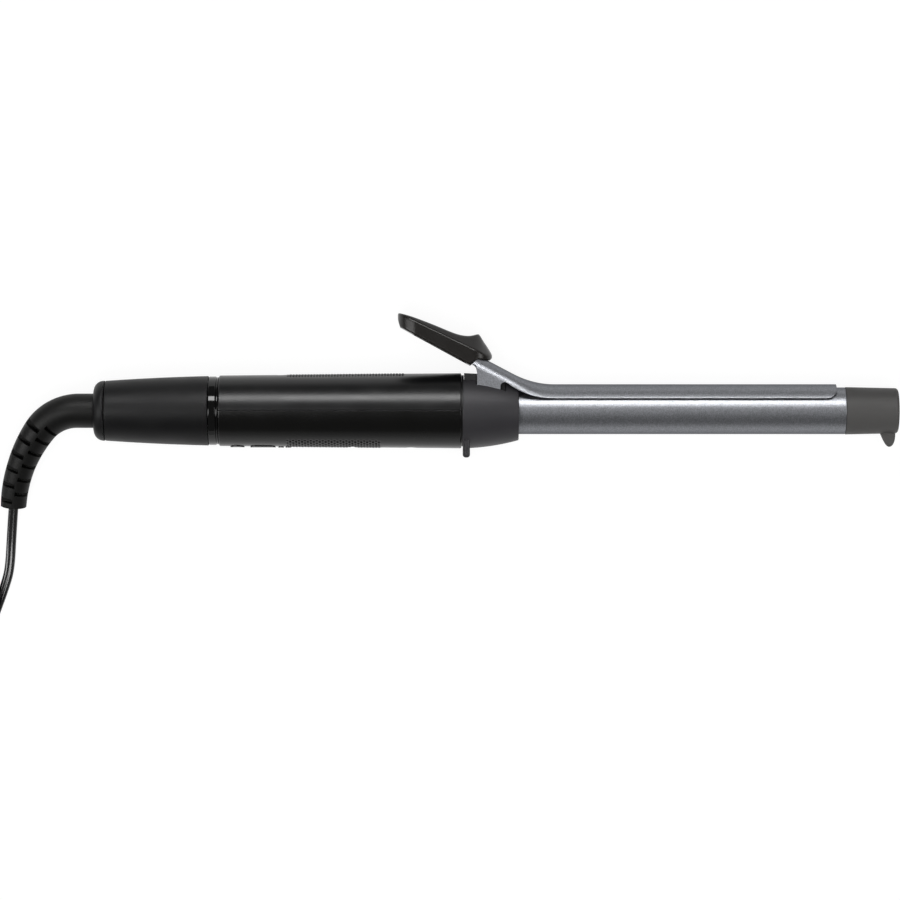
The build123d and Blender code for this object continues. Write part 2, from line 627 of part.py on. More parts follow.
EDGE_Y = CLIP_R * cos(radians(CLIP_HALF_ANGLE))
EDGE_X = COLLAR_END_X + CLIP_EDGE_FOOT
EDGE_SLOPE = tan(radians(CLIP_EDGE_ANGLE))
WINDOW_LINE = sqrt(HANDLE_FRONT_R ** 2 - WINDOW_Z ** 2)
EAR_BOTTOM = WINDOW_LINE - EAR_DEPTH
NOTCH_X = EAR_END_X + EAR_NOTCH
NOTCH_Y = EDGE_Y + (EDGE_X - NOTCH_X) * EDGE_SLOPE
EDGE_BEND = CLIP_EDGE_BEND_R * tan(radians(CLIP_EDGE_ANGLE) / 2)
SADDLE_Y = ramp_height(SADDLE_X) - SADDLE_DROP
LIP_X = EAR_X + SADDLE_LIP
LIP_Y = ramp_height(LIP_X) - SADDLE_LIP_DROP
with BuildPart() as clip:
    clip_body(0, Mode.ADD)
    clip_body(CLIP_SHEET, Mode.SUBTRACT)
    with BuildSketch(SIDE):
        with BuildLine():
            Polyline((EAR_X, SADDLE_Y - 3.2), (EAR_X, EAR_BOTTOM), (EAR_END_X, EAR_BOTTOM - 1.6),
                     (EAR_END_X, NOTCH_Y - EAR_NOTCH))
            TangentArc((EAR_END_X, NOTCH_Y - EAR_NOTCH), (NOTCH_X, NOTCH_Y), tangent=(0, 1))
            Line((NOTCH_X, NOTCH_Y), (EDGE_X - EDGE_BEND * cos(radians(CLIP_EDGE_ANGLE)),
                                      EDGE_Y + EDGE_BEND * sin(radians(CLIP_EDGE_ANGLE))))
            TangentArc((EDGE_X - EDGE_BEND * cos(radians(CLIP_EDGE_ANGLE)),
                        EDGE_Y + EDGE_BEND * sin(radians(CLIP_EDGE_ANGLE))),
                       (EDGE_X + EDGE_BEND, EDGE_Y), tangent=(1, -EDGE_SLOPE))
            Line((EDGE_X + EDGE_BEND, EDGE_Y), (CLIP_END_X - CLIP_END_CORNER, EDGE_Y))
            TangentArc((CLIP_END_X - CLIP_END_CORNER, EDGE_Y), (CLIP_END_X, EDGE_Y + CLIP_END_CORNER),
                       tangent=(1, 0))
            Polyline((CLIP_END_X, EDGE_Y + CLIP_END_CORNER), (CLIP_END_X, LEVER_TAIL_HEIGHT),
                     (LIP_X, LEVER_TAIL_HEIGHT), (LIP_X, LIP_Y), (SADDLE_X, SADDLE_Y))
            TangentArc((EAR_X, SADDLE_Y - 3.2), (SADDLE_X, SADDLE_Y), tangent=(0, 1))
        make_face()
    extrude(amount=2 * CLIP_R, both=True, mode=Mode.INTERSECT)
    rivet_holes(-2 * CLIP_SHEET, 4 * CLIP_SHEET)

# Hinge bracket: inner arch welded under the saddle, with a bored flange on each side
NEST = CLIP_SHEET + FIT
with BuildPart() as hinge_bracket:
    for inset, mode in ((NEST, Mode.ADD), (NEST + BRACKET_SHEET, Mode.SUBTRACT)):
        face = arch(SADDLE_X, ramp_height(SADDLE_X) - inset / cos(RAMP), SADDLE_CORNER - inset, CLIP_R - inset, 0)
        extrude(face, amount=BLOCK_LENGTH, dir=SLANT, mode=mode)
    with BuildSketch(SIDE):
        with Locations((PIN_X, PIN_HEIGHT)):
            Circle(BRACKET_BOSS_R)
        with Locations((PIN_X, PIN_HEIGHT + LEVER_TAIL_HEIGHT / 2)):
            Rectangle(2 * BRACKET_REAR, LEVER_TAIL_HEIGHT)
        with Locations((PIN_X + (BRACKET_FRONT - BRACKET_REAR) / 2, PIN_HEIGHT + PIN_R + 3 + LEVER_TAIL_HEIGHT / 2)):
            Rectangle(BRACKET_FRONT + BRACKET_REAR, LEVER_TAIL_HEIGHT)
    extrude(amount=2 * CLIP_R, both=True, mode=Mode.INTERSECT)
    with BuildSketch(SIDE):
        with Locations((PIN_X, PIN_HEIGHT)):
            Circle(PIN_R + FIT)
    extrude(amount=2 * CLIP_R, both=True, mode=Mode.SUBTRACT)
    rivet_holes(-NEST - 2 * BRACKET_SHEET, NEST + 2 * BRACKET_SHEET)

with BuildPart() as hinge_pin:
    with BuildSketch(SIDE):
        with Locations((PIN_X, PIN_HEIGHT)):
            Circle(PIN_R)
    extrude(amount=CLIP_R - NEST - FIT, both=True)


def biarcs(points, headings):
    """Tangent arcs, two to a step, through points with known headings."""
    arcs = []
    for (p, q), (t, u) in zip(zip(points, points[1:]), zip(headings, headings[1:])):
        chord = q - p
        lean = chord.dot(t + u)
        open_turn = 2 * (1 - t.dot(u))
        reach = (sqrt(lean ** 2 + open_turn * chord.dot(chord)) - lean) / open_turn
        joint = (p + q + (t - u) * reach) / 2
        arcs.append(TangentArc(p, joint, tangent=t))
        arcs.append(TangentArc(joint, q, tangent=arcs[-1] % 1))
    return arcs


def least_gap(points, skip, size):
    """Least distance between points of one tube that are not neighbours, less its size."""
    least = 1e9
    for i, p in enumerate(points):
        for q in points[i + skip:]:
            least = min(least, (q - p).length)
    return least - size


# Torsion spring on the pin: one leg on the block, one up against the bracket
def spring_point(turn):
    angle = -pi / 2 - 2 * pi * turn
    return Vector(PIN_X + SPRING_R * cos(angle), PIN_HEIGHT + SPRING_R * sin(angle),
                  AXIS_Z + SPRING_PITCH * (turn - SPRING_TURNS / 2 - 0.125))


def spring_heading(turn):
    angle = -pi / 2 - 2 * pi * turn
    return Vector(2 * pi * SPRING_R * sin(angle), -2 * pi * SPRING_R * cos(angle), SPRING_PITCH).normalized()


SPRING_END = SPRING_TURNS + 0.25
quarters = [0.25 * n for n in range(int(SPRING_END * 4) + 1)]
LEG_TOP = (ramp_height(PIN_X - SPRING_R) - (NEST + BRACKET_SHEET) / cos(RAMP)
           - (SPRING_WIRE_R + RUN) / cos(RAMP))
spring_start = spring_point(0)
spring_stop = spring_point(SPRING_END)
with BuildPart() as clip_spring:
    with BuildLine() as spring_path:
        headings = [Vector(-1, 0, 0)] + [spring_heading(t) for t in quarters[1:-1]] + [Vector(0, 1, 0)]
        Line(spring_start + Vector(SPRING_LEG, 0, 0), spring_start)
        biarcs([spring_point(t) for t in quarters], headings)
        Line(spring_stop, Vector(spring_stop.X, LEG_TOP, spring_stop.Z))
    with BuildSketch(Plane(origin=spring_path.wires()[0] @ 0, z_dir=spring_path.wires()[0] % 0)):
        RegularPolygon(SPRING_WIRE_R, 8)
    sweep(path=spring_path.wires()[0])
samples = [spring_point(0.02 * n) for n in range(int(SPRING_END / 0.02) + 1)]
print("spring gap", round(least_gap(samples, 25, 2 * SPRING_WIRE_R), 2))

# Thumb lever: paddle with a slanting face along each side of its top, hollow below, on the saddle
NOSE_X = COLLAR_X + LEVER_NOSE_SETBACK
TAIL_X = NOSE_X - LEVER_LENGTH
FOOT_X = NOSE_X - LEVER_FOOT
LEVER_TOP = ((LEVER_STOP_HEIGHT - LEVER_TAIL_HEIGHT) / (NOSE_X - LEVER_DIP - TAIL_X))


def lever_top(x):
    """Height of the paddle's straight top line."""
    return LEVER_TAIL_HEIGHT + (x - TAIL_X) * LEVER_TOP


def lever_outline():
    """Side outline of the lever, with each corner rounded."""
    FilletPolyline(
        (TAIL_X, LEVER_TAIL_HEIGHT),
        (TAIL_X + 1.4, LEVER_TAIL_HEIGHT - LEVER_TAIL_DEPTH),
        (FOOT_X, ramp_height(FOOT_X) - 5.2),
        (FOOT_X + 3.1, ramp_height(FOOT_X + 3.1) - 1.4),
        (NOSE_X - 1.0, ramp_height(NOSE_X - 1.0) + 1.0),
        (NOSE_X, ramp_height(NOSE_X) + 4.1),
        (NOSE_X - LEVER_STOP, LEVER_STOP_HEIGHT + 0.3),
        (NOSE_X - LEVER_DIP, LEVER_STOP_HEIGHT),
        radius=[0.9, 1.2, 0.7, 0.9, 0.9, 1.0, 1.6, 5.0],
        close=True,
    )


PLAN_X = (TAIL_X + NOSE_X) / 2
RIM = atan((LEVER_TAIL_HEIGHT - LEVER_RIM_DROP - ramp_height(NOSE_X) - LEVER_RIM_NOSE) / LEVER_LENGTH)
RIM_START = Vector(TAIL_X, LEVER_TAIL_HEIGHT - LEVER_RIM_DROP, AXIS_Z)
RIM_RUN = Vector(cos(RIM), -sin(RIM), 0)
HALF_LEVER = LEVER_WIDTH / 2
SLANT_RISE = HALF_LEVER * tan(radians(LEVER_SLANT))
POCKET_X = TAIL_X + LEVER_CORNER
with BuildPart() as lever_form:
    with BuildSketch(SIDE):
        with BuildLine():
            lever_outline()
        make_face()
    extrude(amount=HALF_LEVER, both=True)
    with BuildSketch(level(0)):
        with Locations((PLAN_X, 0)):
            RectangleRounded(LEVER_LENGTH, LEVER_WIDTH, LEVER_CORNER)
    extrude(amount=2 * LEVER_TAIL_HEIGHT, mode=Mode.INTERSECT)
    for side in (1, -1):
        with BuildSketch(Plane(origin=RIM_START, x_dir=(0, 0, side), z_dir=RIM_RUN)) as wedge:
            with BuildLine():
                Polyline((HALF_LEVER, 0), (0, -side * SLANT_RISE), (HALF_LEVER, -side * SLANT_RISE), close=True)
            make_face()
        extrude(wedge.sketch, amount=2 * LEVER_LENGTH, both=True, mode=Mode.SUBTRACT)
    with BuildSketch(SIDE):
        with BuildLine():
            Polyline(
                (POCKET_X, lever_top(POCKET_X) - LEVER_TOP_WALL),
                (FOOT_X - LEVER_WALL, lever_top(FOOT_X - LEVER_WALL) - LEVER_TOP_WALL),
                (FOOT_X - LEVER_WALL, 0),
                (POCKET_X, 0),
                close=True,
            )
        make_face()
    extrude(amount=HALF_LEVER - LEVER_WALL, both=True, mode=Mode.SUBTRACT)

with BuildPart() as lever_seat:
    face = arch(SADDLE_X - 2, ramp_height(SADDLE_X - 2) + FIT, SADDLE_CORNER, CLIP_R + FIT, 0)
    extrude(face, amount=BLOCK_LENGTH + 2, dir=SLANT)
    with BuildSketch(SIDE):
        with BuildLine():
            Polyline(
                (SADDLE_X - FIT, 0),
                (SADDLE_X - FIT, SADDLE_Y),
                (LIP_X - FIT, LIP_Y),
                (LIP_X - FIT, LEVER_TAIL_HEIGHT),
                (RAMP_X, LEVER_TAIL_HEIGHT),
                (RAMP_X, 0),
                close=True,
            )
        make_face()
    extrude(amount=2 * CLIP_R, both=True, mode=Mode.INTERSECT)

with BuildPart() as thumb_lever:
    add(lever_form.part)
    add(lever_seat.part, mode=Mode.SUBTRACT)
    rivet_holes(-FIT, RIVET_REACH + 2 * FIT)

# Rivets through bracket and saddle into the lever
with BuildPart() as lever_rivets:
    for x in RIVET_X:
        with BuildSketch(rivet_plane(x, -NEST - BRACKET_SHEET - FIT - RIVET_HEAD)):
            Circle(RIVET_HEAD_R)
    extrude(amount=RIVET_HEAD)
    for x in RIVET_X:
        with BuildSketch(rivet_plane(x, -NEST - BRACKET_SHEET - FIT - RIVET_HEAD / 2)):
            Circle(RIVET_R)
    extrude(amount=RIVET_REACH + NEST + BRACKET_SHEET + FIT + RIVET_HEAD / 2)

# Keys on the underside: a round push key, a rocker and two lenses
KEY_IN = -(sqrt(SHELL_BORE_R ** 2 - (POWER_KEY_R + KEY_FLANGE) ** 2) - RUN)
STEM_END = BOARD_Y - SWITCH_HEIGHT - PLUNGER - KEY_TRAVEL - 2 * FIT


def crown(x):
    """Keep what lies inside the raised surface of a key at a station."""
    with BuildSketch(across(x - ROCKER_LENGTH)) as disc:
        Circle(handle_radius(x) + KEY_PROUD)
    extrude(disc.sketch, amount=2 * ROCKER_LENGTH, mode=Mode.INTERSECT)


with BuildPart() as power_key:
    with BuildSketch(level(KEY_IN)):
        with Locations((POWER_X, 0)):
            Circle(POWER_KEY_R)
    extrude(amount=-HANDLE_FRONT_R)
    with BuildSketch(level(KEY_IN)):
        with Locations((POWER_X, 0)):
            Circle(POWER_KEY_R + KEY_FLANGE)
    extrude(amount=KEY_FLANGE_THICKNESS)
    with BuildSketch(level(KEY_IN)):
        with Locations((POWER_X, 0)):
            Circle(POWER_KEY_R / 2)
    extrude(amount=STEM_END - KEY_IN)
    crown(POWER_X)

with BuildPart() as heat_rocker:
    with BuildSketch(level(PIVOT_Y + ROCKER_BACK)):
        with Locations((ROCKER_X, 0)):
            RectangleRounded(ROCKER_LENGTH, ROCKER_WIDTH, ROCKER_WIDTH / 3)
    extrude(amount=-HANDLE_FRONT_R)
    crown(ROCKER_X)
    with BuildSketch(SIDE):
        with Locations((ROCKER_X, PIVOT_Y)):
            Circle(PIVOT_R)
    extrude(amount=ROCKER_WIDTH / 2 + PIVOT_REACH, both=True)

with BuildPart() as indicator_lenses:
    with BuildSketch(level(BOARD_Y)):
        with Locations(*[(x, 0) for x in LENS_X]):
            Circle(LENS_R)
    extrude(amount=-HANDLE_FRONT_R)
    crown(LENS_X[0])

# Heater pack inside the barrel
CLAMP_X = COLLAR_END_X + CLAMP_SETBACK
HEATER_X = CLAMP_X + (CLAMP_LENGTH - HEATER_LENGTH) / 2
CLAMP_R = BARREL_R - BARREL_WALL - FIT
BEAD_X = CLAMP_X + CLAMP_LENGTH / 2
with BuildPart() as heater_clamp_upper:
    with BuildSketch(across(CLAMP_X)) as clamp_face:
        Circle(CLAMP_R)
        with Locations((-CLAMP_R + HEATER_THICKNESS / 2 + FIT, 0)):
            Rectangle(2 * CLAMP_R, 2 * CLAMP_R, mode=Mode.SUBTRACT)
    extrude(amount=CLAMP_LENGTH)
    with BuildSketch(level(CLAMP_R)):
        with Locations((BEAD_X, 0)):
            Rectangle(BEAD_LENGTH + 2 * FIT, 2 * (BEAD_R + FIT))
    extrude(amount=-2 * (BEAD_R + FIT), mode=Mode.SUBTRACT)
with BuildPart() as heater_clamp_lower:
    with BuildSketch(across(CLAMP_X)):
        Circle(CLAMP_R)
        with Locations((CLAMP_R - HEATER_THICKNESS / 2 - FIT, 0)):
            Rectangle(2 * CLAMP_R, 2 * CLAMP_R, mode=Mode.SUBTRACT)
    extrude(amount=CLAMP_LENGTH)
with BuildPart() as heater_plate:
    with BuildSketch(across(HEATER_X)):
        Rectangle(HEATER_THICKNESS, HEATER_WIDTH)
    extrude(amount=HEATER_LENGTH)
with BuildPart() as thermistor:
    with BuildSketch(across(BEAD_X - BEAD_LENGTH / 2)):
        with Locations((CLAMP_R - BEAD_R - FIT, 0)):
            Circle(BEAD_R)
    extrude(amount=BEAD_LENGTH)
    fillet(edges().filter_by(GeomType.CIRCLE), BEAD_R / 2)

# Board on the rails of the underside shell, with its parts and switches
BOARD_END_X = BOARD_X + BOARD_LENGTH
BOARD_TOP = BOARD_Y + BOARD_THICKNESS
with BuildPart() as control_board:
    with BuildSketch(level(BOARD_Y)):
        with Locations((BOARD_X + BOARD_LENGTH / 2, 0)):
            Rectangle(BOARD_LENGTH, BOARD_WIDTH)
    extrude(amount=BOARD_THICKNESS)
with BuildPart() as board_components:
    with BuildSketch(level(BOARD_TOP)):
        with Locations((BOARD_X + RELAY_LENGTH, 0)):
            Rectangle(RELAY_LENGTH, RELAY_WIDTH)
    extrude(amount=RELAY_HEIGHT)
    with BuildSketch(level(BOARD_TOP)):
        with Locations((BOARD_X + 2 * RELAY_LENGTH, 1.5 * CAN_R), (BOARD_X + 2 * RELAY_LENGTH, -1.5 * CAN_R)):
            Circle(CAN_R)
    extrude(amount=CAN_HEIGHT)
    with BuildSketch(level(BOARD_TOP)):
        with Locations((BOARD_END_X - 2 * TRIAC_LENGTH, 0)):
            Rectangle(TRIAC_LENGTH, TRIAC_WIDTH)
    extrude(amount=TRIAC_HEIGHT)
ROCKER_ENDS = [ROCKER_X - (ROCKER_LENGTH - SWITCH_SIZE) / 2, ROCKER_X + (ROCKER_LENGTH - SWITCH_SIZE) / 2]
ROCKER_DIP = ROCKER_LENGTH / 2 * sin(radians(ROCKER_SWING)) + 2 * FIT
with BuildPart() as key_switches:
    with BuildSketch(level(BOARD_Y)):
        with Locations(*[(x, 0) for x in [POWER_X] + ROCKER_ENDS]):
            Rectangle(SWITCH_SIZE, SWITCH_SIZE)
    extrude(amount=-SWITCH_HEIGHT)
    with BuildSketch(level(BOARD_Y - SWITCH_HEIGHT)):
        with Locations((POWER_X, 0)):
            Circle(PLUNGER_R)
    extrude(amount=-PLUNGER)
    with BuildSketch(level(BOARD_Y - SWITCH_HEIGHT)):
        with Locations(*[(x, 0) for x in ROCKER_ENDS]):
            Circle(PLUNGER_R)
    extrude(amount=PIVOT_Y + ROCKER_BACK + ROCKER_DIP - BOARD_Y + SWITCH_HEIGHT)

# Shell screws
with BuildPart() as shell_screws:
    with BuildSketch(level(-SCREW_SEAT)):
        with Locations(*[(x, 0) for x in SCREW_X]):
            Circle(SCREW_HEAD_R)
    extrude(amount=-SCREW_HEAD)
    with BuildSketch(level(-SCREW_SEAT - SCREW_HEAD / 2)):
        with Locations(*[(x, 0) for x in SCREW_X]):
            Circle(SCREW_R - FIT / 2)
    extrude(amount=SCREW_SEAT + SCREW_HEAD / 2 + SHELL_BORE_R - 3.0)

# Leads: heater to board, one of them through the fuse, and swivel to board
LEAD_Y = BOARD_Y + BOARD_THICKNESS / 2
FUSE_X = COLLAR_X + COLLAR_LENGTH / 4


def lead(points, side):
    """Round lead through points of the side plane, at its own distance from the middle."""
    places = [Vector(x, y, AXIS_Z + side * LEAD_SPREAD) for x, y in points]
    if len(places) == 2:
        with BuildLine() as route:
            Line(*places)
    else:
        with BuildLine() as route:
            FilletPolyline(*places, radius=6 * LEAD_R)
    path = route.wires()[0]
    with BuildSketch(Plane(origin=path @ 0, z_dir=path % 0)) as end:
        RegularPolygon(LEAD_R, 8)
    sweep(end.sketch, path=path)


LEAD_BEND = [(COLLAR_X - COLLAR_SPIGOT, 0), (SCREW_X[0] + SCREW_PITCH / 4, LEAD_Y), (BOARD_END_X, LEAD_Y)]
with BuildPart() as heater_leads:
    lead([(HEATER_X, 0)] + LEAD_BEND, -1)
    lead([(HEATER_X, 0), (FUSE_X + FUSE_LENGTH, 0)], 1)
    lead([(FUSE_X, 0)] + LEAD_BEND, 1)
with BuildPart() as thermal_fuse:
    with BuildSketch(Plane.YZ.offset(FUSE_X)):
        with Locations((0, AXIS_Z + LEAD_SPREAD)):
            Circle(FUSE_R)
    extrude(amount=FUSE_LENGTH)

# Cord swivel: rotor with slip rings, in a socket with leaf brushes
ROTOR_X = CAP_X + CAP_FACE + RUN
SOCKET_X = ROTOR_X + ROTOR_FLANGE + RUN
SOCKET_END_X = SOCKET_X + ROTOR_STEM - RUN
STEM_END_X = ROTOR_X + ROTOR_FLANGE + ROTOR_STEM
SOCKET_R = CAP_R - SLEEVE_WALL - FIT
RINGS_X = [(SOCKET_X + SOCKET_END_X) / 2 - SLIP_RING_PITCH / 2, (SOCKET_X + SOCKET_END_X) / 2 + SLIP_RING_PITCH / 2]
with BuildPart() as swivel_rotor:
    with BuildSketch(SIDE):
        with BuildLine():
            Polyline(
                (ROTOR_X - ROTOR_SPIGOT, 0),
                (ROTOR_X - ROTOR_SPIGOT, ROTOR_SPIGOT_R),
                (ROTOR_X, ROTOR_SPIGOT_R),
                (ROTOR_X, ROTOR_FLANGE_R),
                (ROTOR_X + ROTOR_FLANGE, ROTOR_FLANGE_R),
                (ROTOR_X + ROTOR_FLANGE, ROTOR_STEM_R),
                (STEM_END_X, ROTOR_STEM_R),
                (STEM_END_X, 0),
                close=True,
            )
        make_face()
    revolve(axis=CENTRE)
with BuildPart() as slip_rings:
    with BuildSketch(SIDE):
        for x in RINGS_X:
            span(x - SLIP_RING_WIDTH / 2, x + SLIP_RING_WIDTH / 2, ROTOR_STEM_R + FIT, SLIP_RING_R)
    revolve(axis=CENTRE)
BRUSH_R = SLIP_RING_R + FIT
SOCKET_BORE_R = SOCKET_R - SOCKET_WALL
with BuildPart() as swivel_socket:
    with BuildSketch(SIDE):
        span(SOCKET_X, SOCKET_END_X, ROTOR_STEM_R + FIT, SOCKET_R)
        with Locations(((SOCKET_X + SOCKET_END_X) / 2, SOCKET_BORE_R / 2)):
            Rectangle(SOCKET_END_X - SOCKET_X - 2 * SOCKET_WALL, SOCKET_BORE_R, mode=Mode.SUBTRACT)
    revolve(axis=CENTRE)
BRUSH_HALF = sqrt(SOCKET_BORE_R ** 2 - (BRUSH_R + BRUSH_SHEET) ** 2) - FIT
with BuildPart() as brush_contacts:
    for x, side in zip(RINGS_X, (1, -1)):
        with BuildSketch(across(x - SLIP_RING_WIDTH / 2 + 0.3)):
            with Locations((side * (BRUSH_R + BRUSH_SHEET / 2), 0)):
                Rectangle(BRUSH_SHEET, 2 * BRUSH_HALF)
    extrude(amount=SLIP_RING_WIDTH - 0.6)
with BuildPart() as supply_leads:
    lead([(SOCKET_END_X, LEAD_Y), (BOARD_X, LEAD_Y)], 1)
    lead([(SOCKET_END_X, LEAD_Y), (BOARD_X, LEAD_Y)], -1)

# Strain relief: tapered elbow with two staggered rows of slots, leaning down to the table
RELIEF_DROP = (ELBOW_R * (1 - cos(radians(ELBOW_TURN)))
               + TAPER_R * (cos(radians(ELBOW_TURN)) - cos(radians(ELBOW_TURN + TAPER_TURN))))
LEAN = asin((AXIS_Z - RELIEF_END_R - RELIEF_LIFT) / RELIEF_DROP)
ELBOW = Plane(origin=(0, 0, AXIS_Z), x_dir=(1, 0, 0), z_dir=(0, -sin(LEAN), cos(LEAN)))
NECK_X = CAP_X - NECK_RUN


def ring(place, heading, radius):
    """Round section of the strain relief at a place on its path."""
    with BuildSketch(Plane(origin=place, x_dir=ELBOW.z_dir, z_dir=heading)) as face:
        Circle(radius)
    return face.sketch


def slot_row(path, start, inner, outer, width):
    """Row of slots along a path, sunk into both faces on one side of the path."""
    for n in range(SLOT_COUNT):
        share = (start + n * SLOT_PITCH) / path.length
        for face in (1, -1):
            place = path @ share + ELBOW.z_dir * (face * SLOT_FLOOR)
            with BuildSketch(Plane(origin=place, x_dir=path % share * face, z_dir=ELBOW.z_dir * face)) as slot:
                with Locations((0, (inner + outer) / 2)):
                    Rectangle(width, abs(outer - inner))
            extrude(slot.sketch, amount=NECK_R, mode=Mode.SUBTRACT)


with BuildLine(ELBOW) as relief_line:
    neck = Line((ROTOR_X, 0), (NECK_X, 0))
    bend = JernArc(neck @ 1, (-1, 0), ELBOW_R, ELBOW_TURN)
    taper = JernArc(bend @ 1, bend % 1, TAPER_R, TAPER_TURN)
relief_path = relief_line.wires()[0]
bend_path, taper_path = relief_line.edges().filter_by(GeomType.CIRCLE).sort_by(SortBy.RADIUS)
with BuildPart() as strain_relief:
    rings = [
        ring(relief_path @ 0, relief_path % 0, NECK_R),
        ring(bend_path @ 0, bend_path % 0, NECK_R),
        ring(taper_path @ 0, taper_path % 0, WAIST_R),
        ring(taper_path @ 0.5, taper_path % 0.5, TAPER_MID_R),
        ring(taper_path @ 1, taper_path % 1, RELIEF_END_R),
    ]
    sweep(rings, path=relief_path, multisection=True)
    slot_row(taper_path, SLOT_OUTER_START, -SLOT_WEB, -2 * NECK_R, SLOT_OUTER_WIDTH)
    slot_row(taper_path, SLOT_INNER_START, SLOT_WEB, 2 * NECK_R, SLOT_INNER_WIDTH)
    with BuildSketch(across(ROTOR_X - ROTOR_SPIGOT - FIT)):
        Circle(ROTOR_SPIGOT_R + FIT)
    extrude(amount=ROTOR_SPIGOT + FIT, mode=Mode.SUBTRACT)

# Twin flex: a free stretch, a coil of the stored length and a tail to the plug
CORD_Z = CORD_THICKNESS / 2 + CORD_LIFT


def flex(path):
    """Twin flex swept along a path, flat side down: two lobes and a waist."""
    heading = path % 0
    lobe = CORD_WIDTH / 2 - 0.35 * CORD_THICKNESS
    with BuildSketch(Plane(origin=path @ 0, x_dir=Vector(0, 0, 1).cross(heading), z_dir=heading)) as face:
        with BuildLine():
            Polyline(
                (CORD_WIDTH / 2, 0),
                (lobe, CORD_THICKNESS / 2),
                (0, CORD_WAIST / 2),
                (-lobe, CORD_THICKNESS / 2),
                (-CORD_WIDTH / 2, 0),
                (-lobe, -CORD_THICKNESS / 2),
                (0, -CORD_WAIST / 2),
                (lobe, -CORD_THICKNESS / 2),
                close=True,
            )
        make_face()
    sweep(face.sketch, path=path)
    return face.sketch.area * path.length


def soft_path(points):
    """Straight runs joined by arcs as large as the runs allow, and the arcs' radii."""
    radii = []
    for a, b, c in zip(points, points[1:], points[2:]):
        turn = radians((b - a).get_angle(c - b))
        radii.append(0.45 * min((b - a).length, (c - b).length) / tan(turn / 2))
    with BuildLine() as route:
        FilletPolyline(*points, radius=radii)
    print("radii", [round(r) for r in radii])
    return route.wires()[0]


def report(name, piece, volume):
    """Print a tube's volume beside its section times its length."""
    print(name, "volume", round(piece.part.volume, 1), "section x length", round(volume, 1))


COIL_MIDDLE = Vector(COIL_X, COIL_Y, CORD_Z)
ENTRY = radians(COIL_ENTRY)


def coil_point(turn):
    """Place on the coil's middle line: spirals in and out, a layer higher each time."""
    layer, part = divmod(turn, COIL_TURNS + 0.5)
    inwards = layer % 2 == 0
    reach = part if part <= COIL_TURNS + 0.25 else 2 * COIL_TURNS + 0.5 - part
    radius = COIL_R - COIL_PITCH * (reach if inwards else COIL_TURNS - reach)
    climb = (1 - cos(2 * pi * max(part - COIL_TURNS, 0))) / 2
    angle = -ENTRY - 2 * pi * turn
    return COIL_MIDDLE + Vector(radius * cos(angle), radius * sin(angle), (layer + climb) * COIL_LAYER)


def coil_heading(turn):
    """Heading of the coil's middle line."""
    return (coil_point(turn + 0.005) - coil_point(turn - 0.005)).normalized()


COIL_END = COIL_LAYERS * COIL_TURNS + (COIL_LAYERS - 1) / 2
coil_in = Vector(-sin(ENTRY), -cos(ENTRY), 0)
coil_out = Vector(sin(ENTRY), cos(ENTRY), 0)
coil_start = coil_point(0)
coil_stop = coil_point(COIL_END)
climbs = [(COIL_TURNS + 0.5) * n - 0.25 for n in range(1, COIL_LAYERS)]
marks = sorted([0.5 * n for n in range(int(COIL_END * 2) + 1)] + climbs)
with BuildLine() as coil_line:
    Line(coil_start - coil_in * CORD_WIDTH, coil_start)
    biarcs([coil_point(t) for t in marks], [coil_in] + [coil_heading(t) for t in marks[1:-1]] + [coil_out])
    Line(coil_stop, coil_stop + coil_out * CORD_WIDTH)
coil_path = coil_line.wires()[0]
with BuildPart() as cord_coil:
    coil_volume = flex(coil_path)
report("coil", cord_coil, coil_volume)

# Both lobes of the flex, sampled along the coil's path
SAMPLES = int(COIL_END * 48)
lobes = []
for n in range(SAMPLES + 1):
    flat = Vector(0, 0, 1).cross(coil_path % (n / SAMPLES)).normalized() * ((CORD_WIDTH - CORD_THICKNESS) / 2)
    lobes += [coil_path @ (n / SAMPLES) - flat, coil_path @ (n / SAMPLES) + flat]
print("coil gap", round(least_gap(lobes, 48, CORD_THICKNESS), 2), "coil length", round(coil_path.length))

# Tie: a thin band round the coil's turns
COIL_HOLE_R = COIL_R - COIL_TURNS * COIL_PITCH - COIL_PITCH / 4 - CORD_WIDTH / 2
TIE_INNER = sqrt(COIL_HOLE_R**2 - (TIE_WIDTH / 2) ** 2) - TIE_GAP
TIE_OUTER = COIL_R + COIL_PITCH / 4 + CORD_WIDTH / 2 + TIE_GAP
TIE_LOW = CORD_LIFT - FIT
TIE_HIGH = CORD_LIFT + (COIL_LAYERS - 1) * COIL_LAYER + CORD_THICKNESS + 2 * TIE_GAP
tie_side = Vector(cos(radians(TIE_ANGLE)), sin(radians(TIE_ANGLE)), 0)
tie_place = Vector(COIL_X, COIL_Y, (TIE_LOW + TIE_HIGH) / 2) + tie_side * ((TIE_INNER + TIE_OUTER) / 2)
with BuildPart() as cord_tie:
    with BuildSketch(Plane(origin=tie_place, x_dir=tie_side, z_dir=tie_side.cross(Vector(0, 0, 1)))):
        RectangleRounded(TIE_OUTER - TIE_INNER + 2 * TIE_SHEET, TIE_HIGH - TIE_LOW + 2 * TIE_SHEET,
                         TIE_CORNER + TIE_SHEET)
        RectangleRounded(TIE_OUTER - TIE_INNER, TIE_HIGH - TIE_LOW, TIE_CORNER, mode=Mode.SUBTRACT)
    extrude(amount=TIE_WIDTH / 2, both=True)

relief_end = taper_path @ 1
exit_heading = taper_path % 1
cord_end = coil_start - coil_in * CORD_WIDTH
cord_path = soft_path([
    relief_end,
    relief_end + exit_heading * 12.0,
    Vector(-180.4, -63.0, CORD_Z),
    cord_end - coil_in * 12.0,
    cord_end,
])
with BuildPart() as cord:
    cord_volume = flex(cord_path)
report("cord", cord, cord_volume)

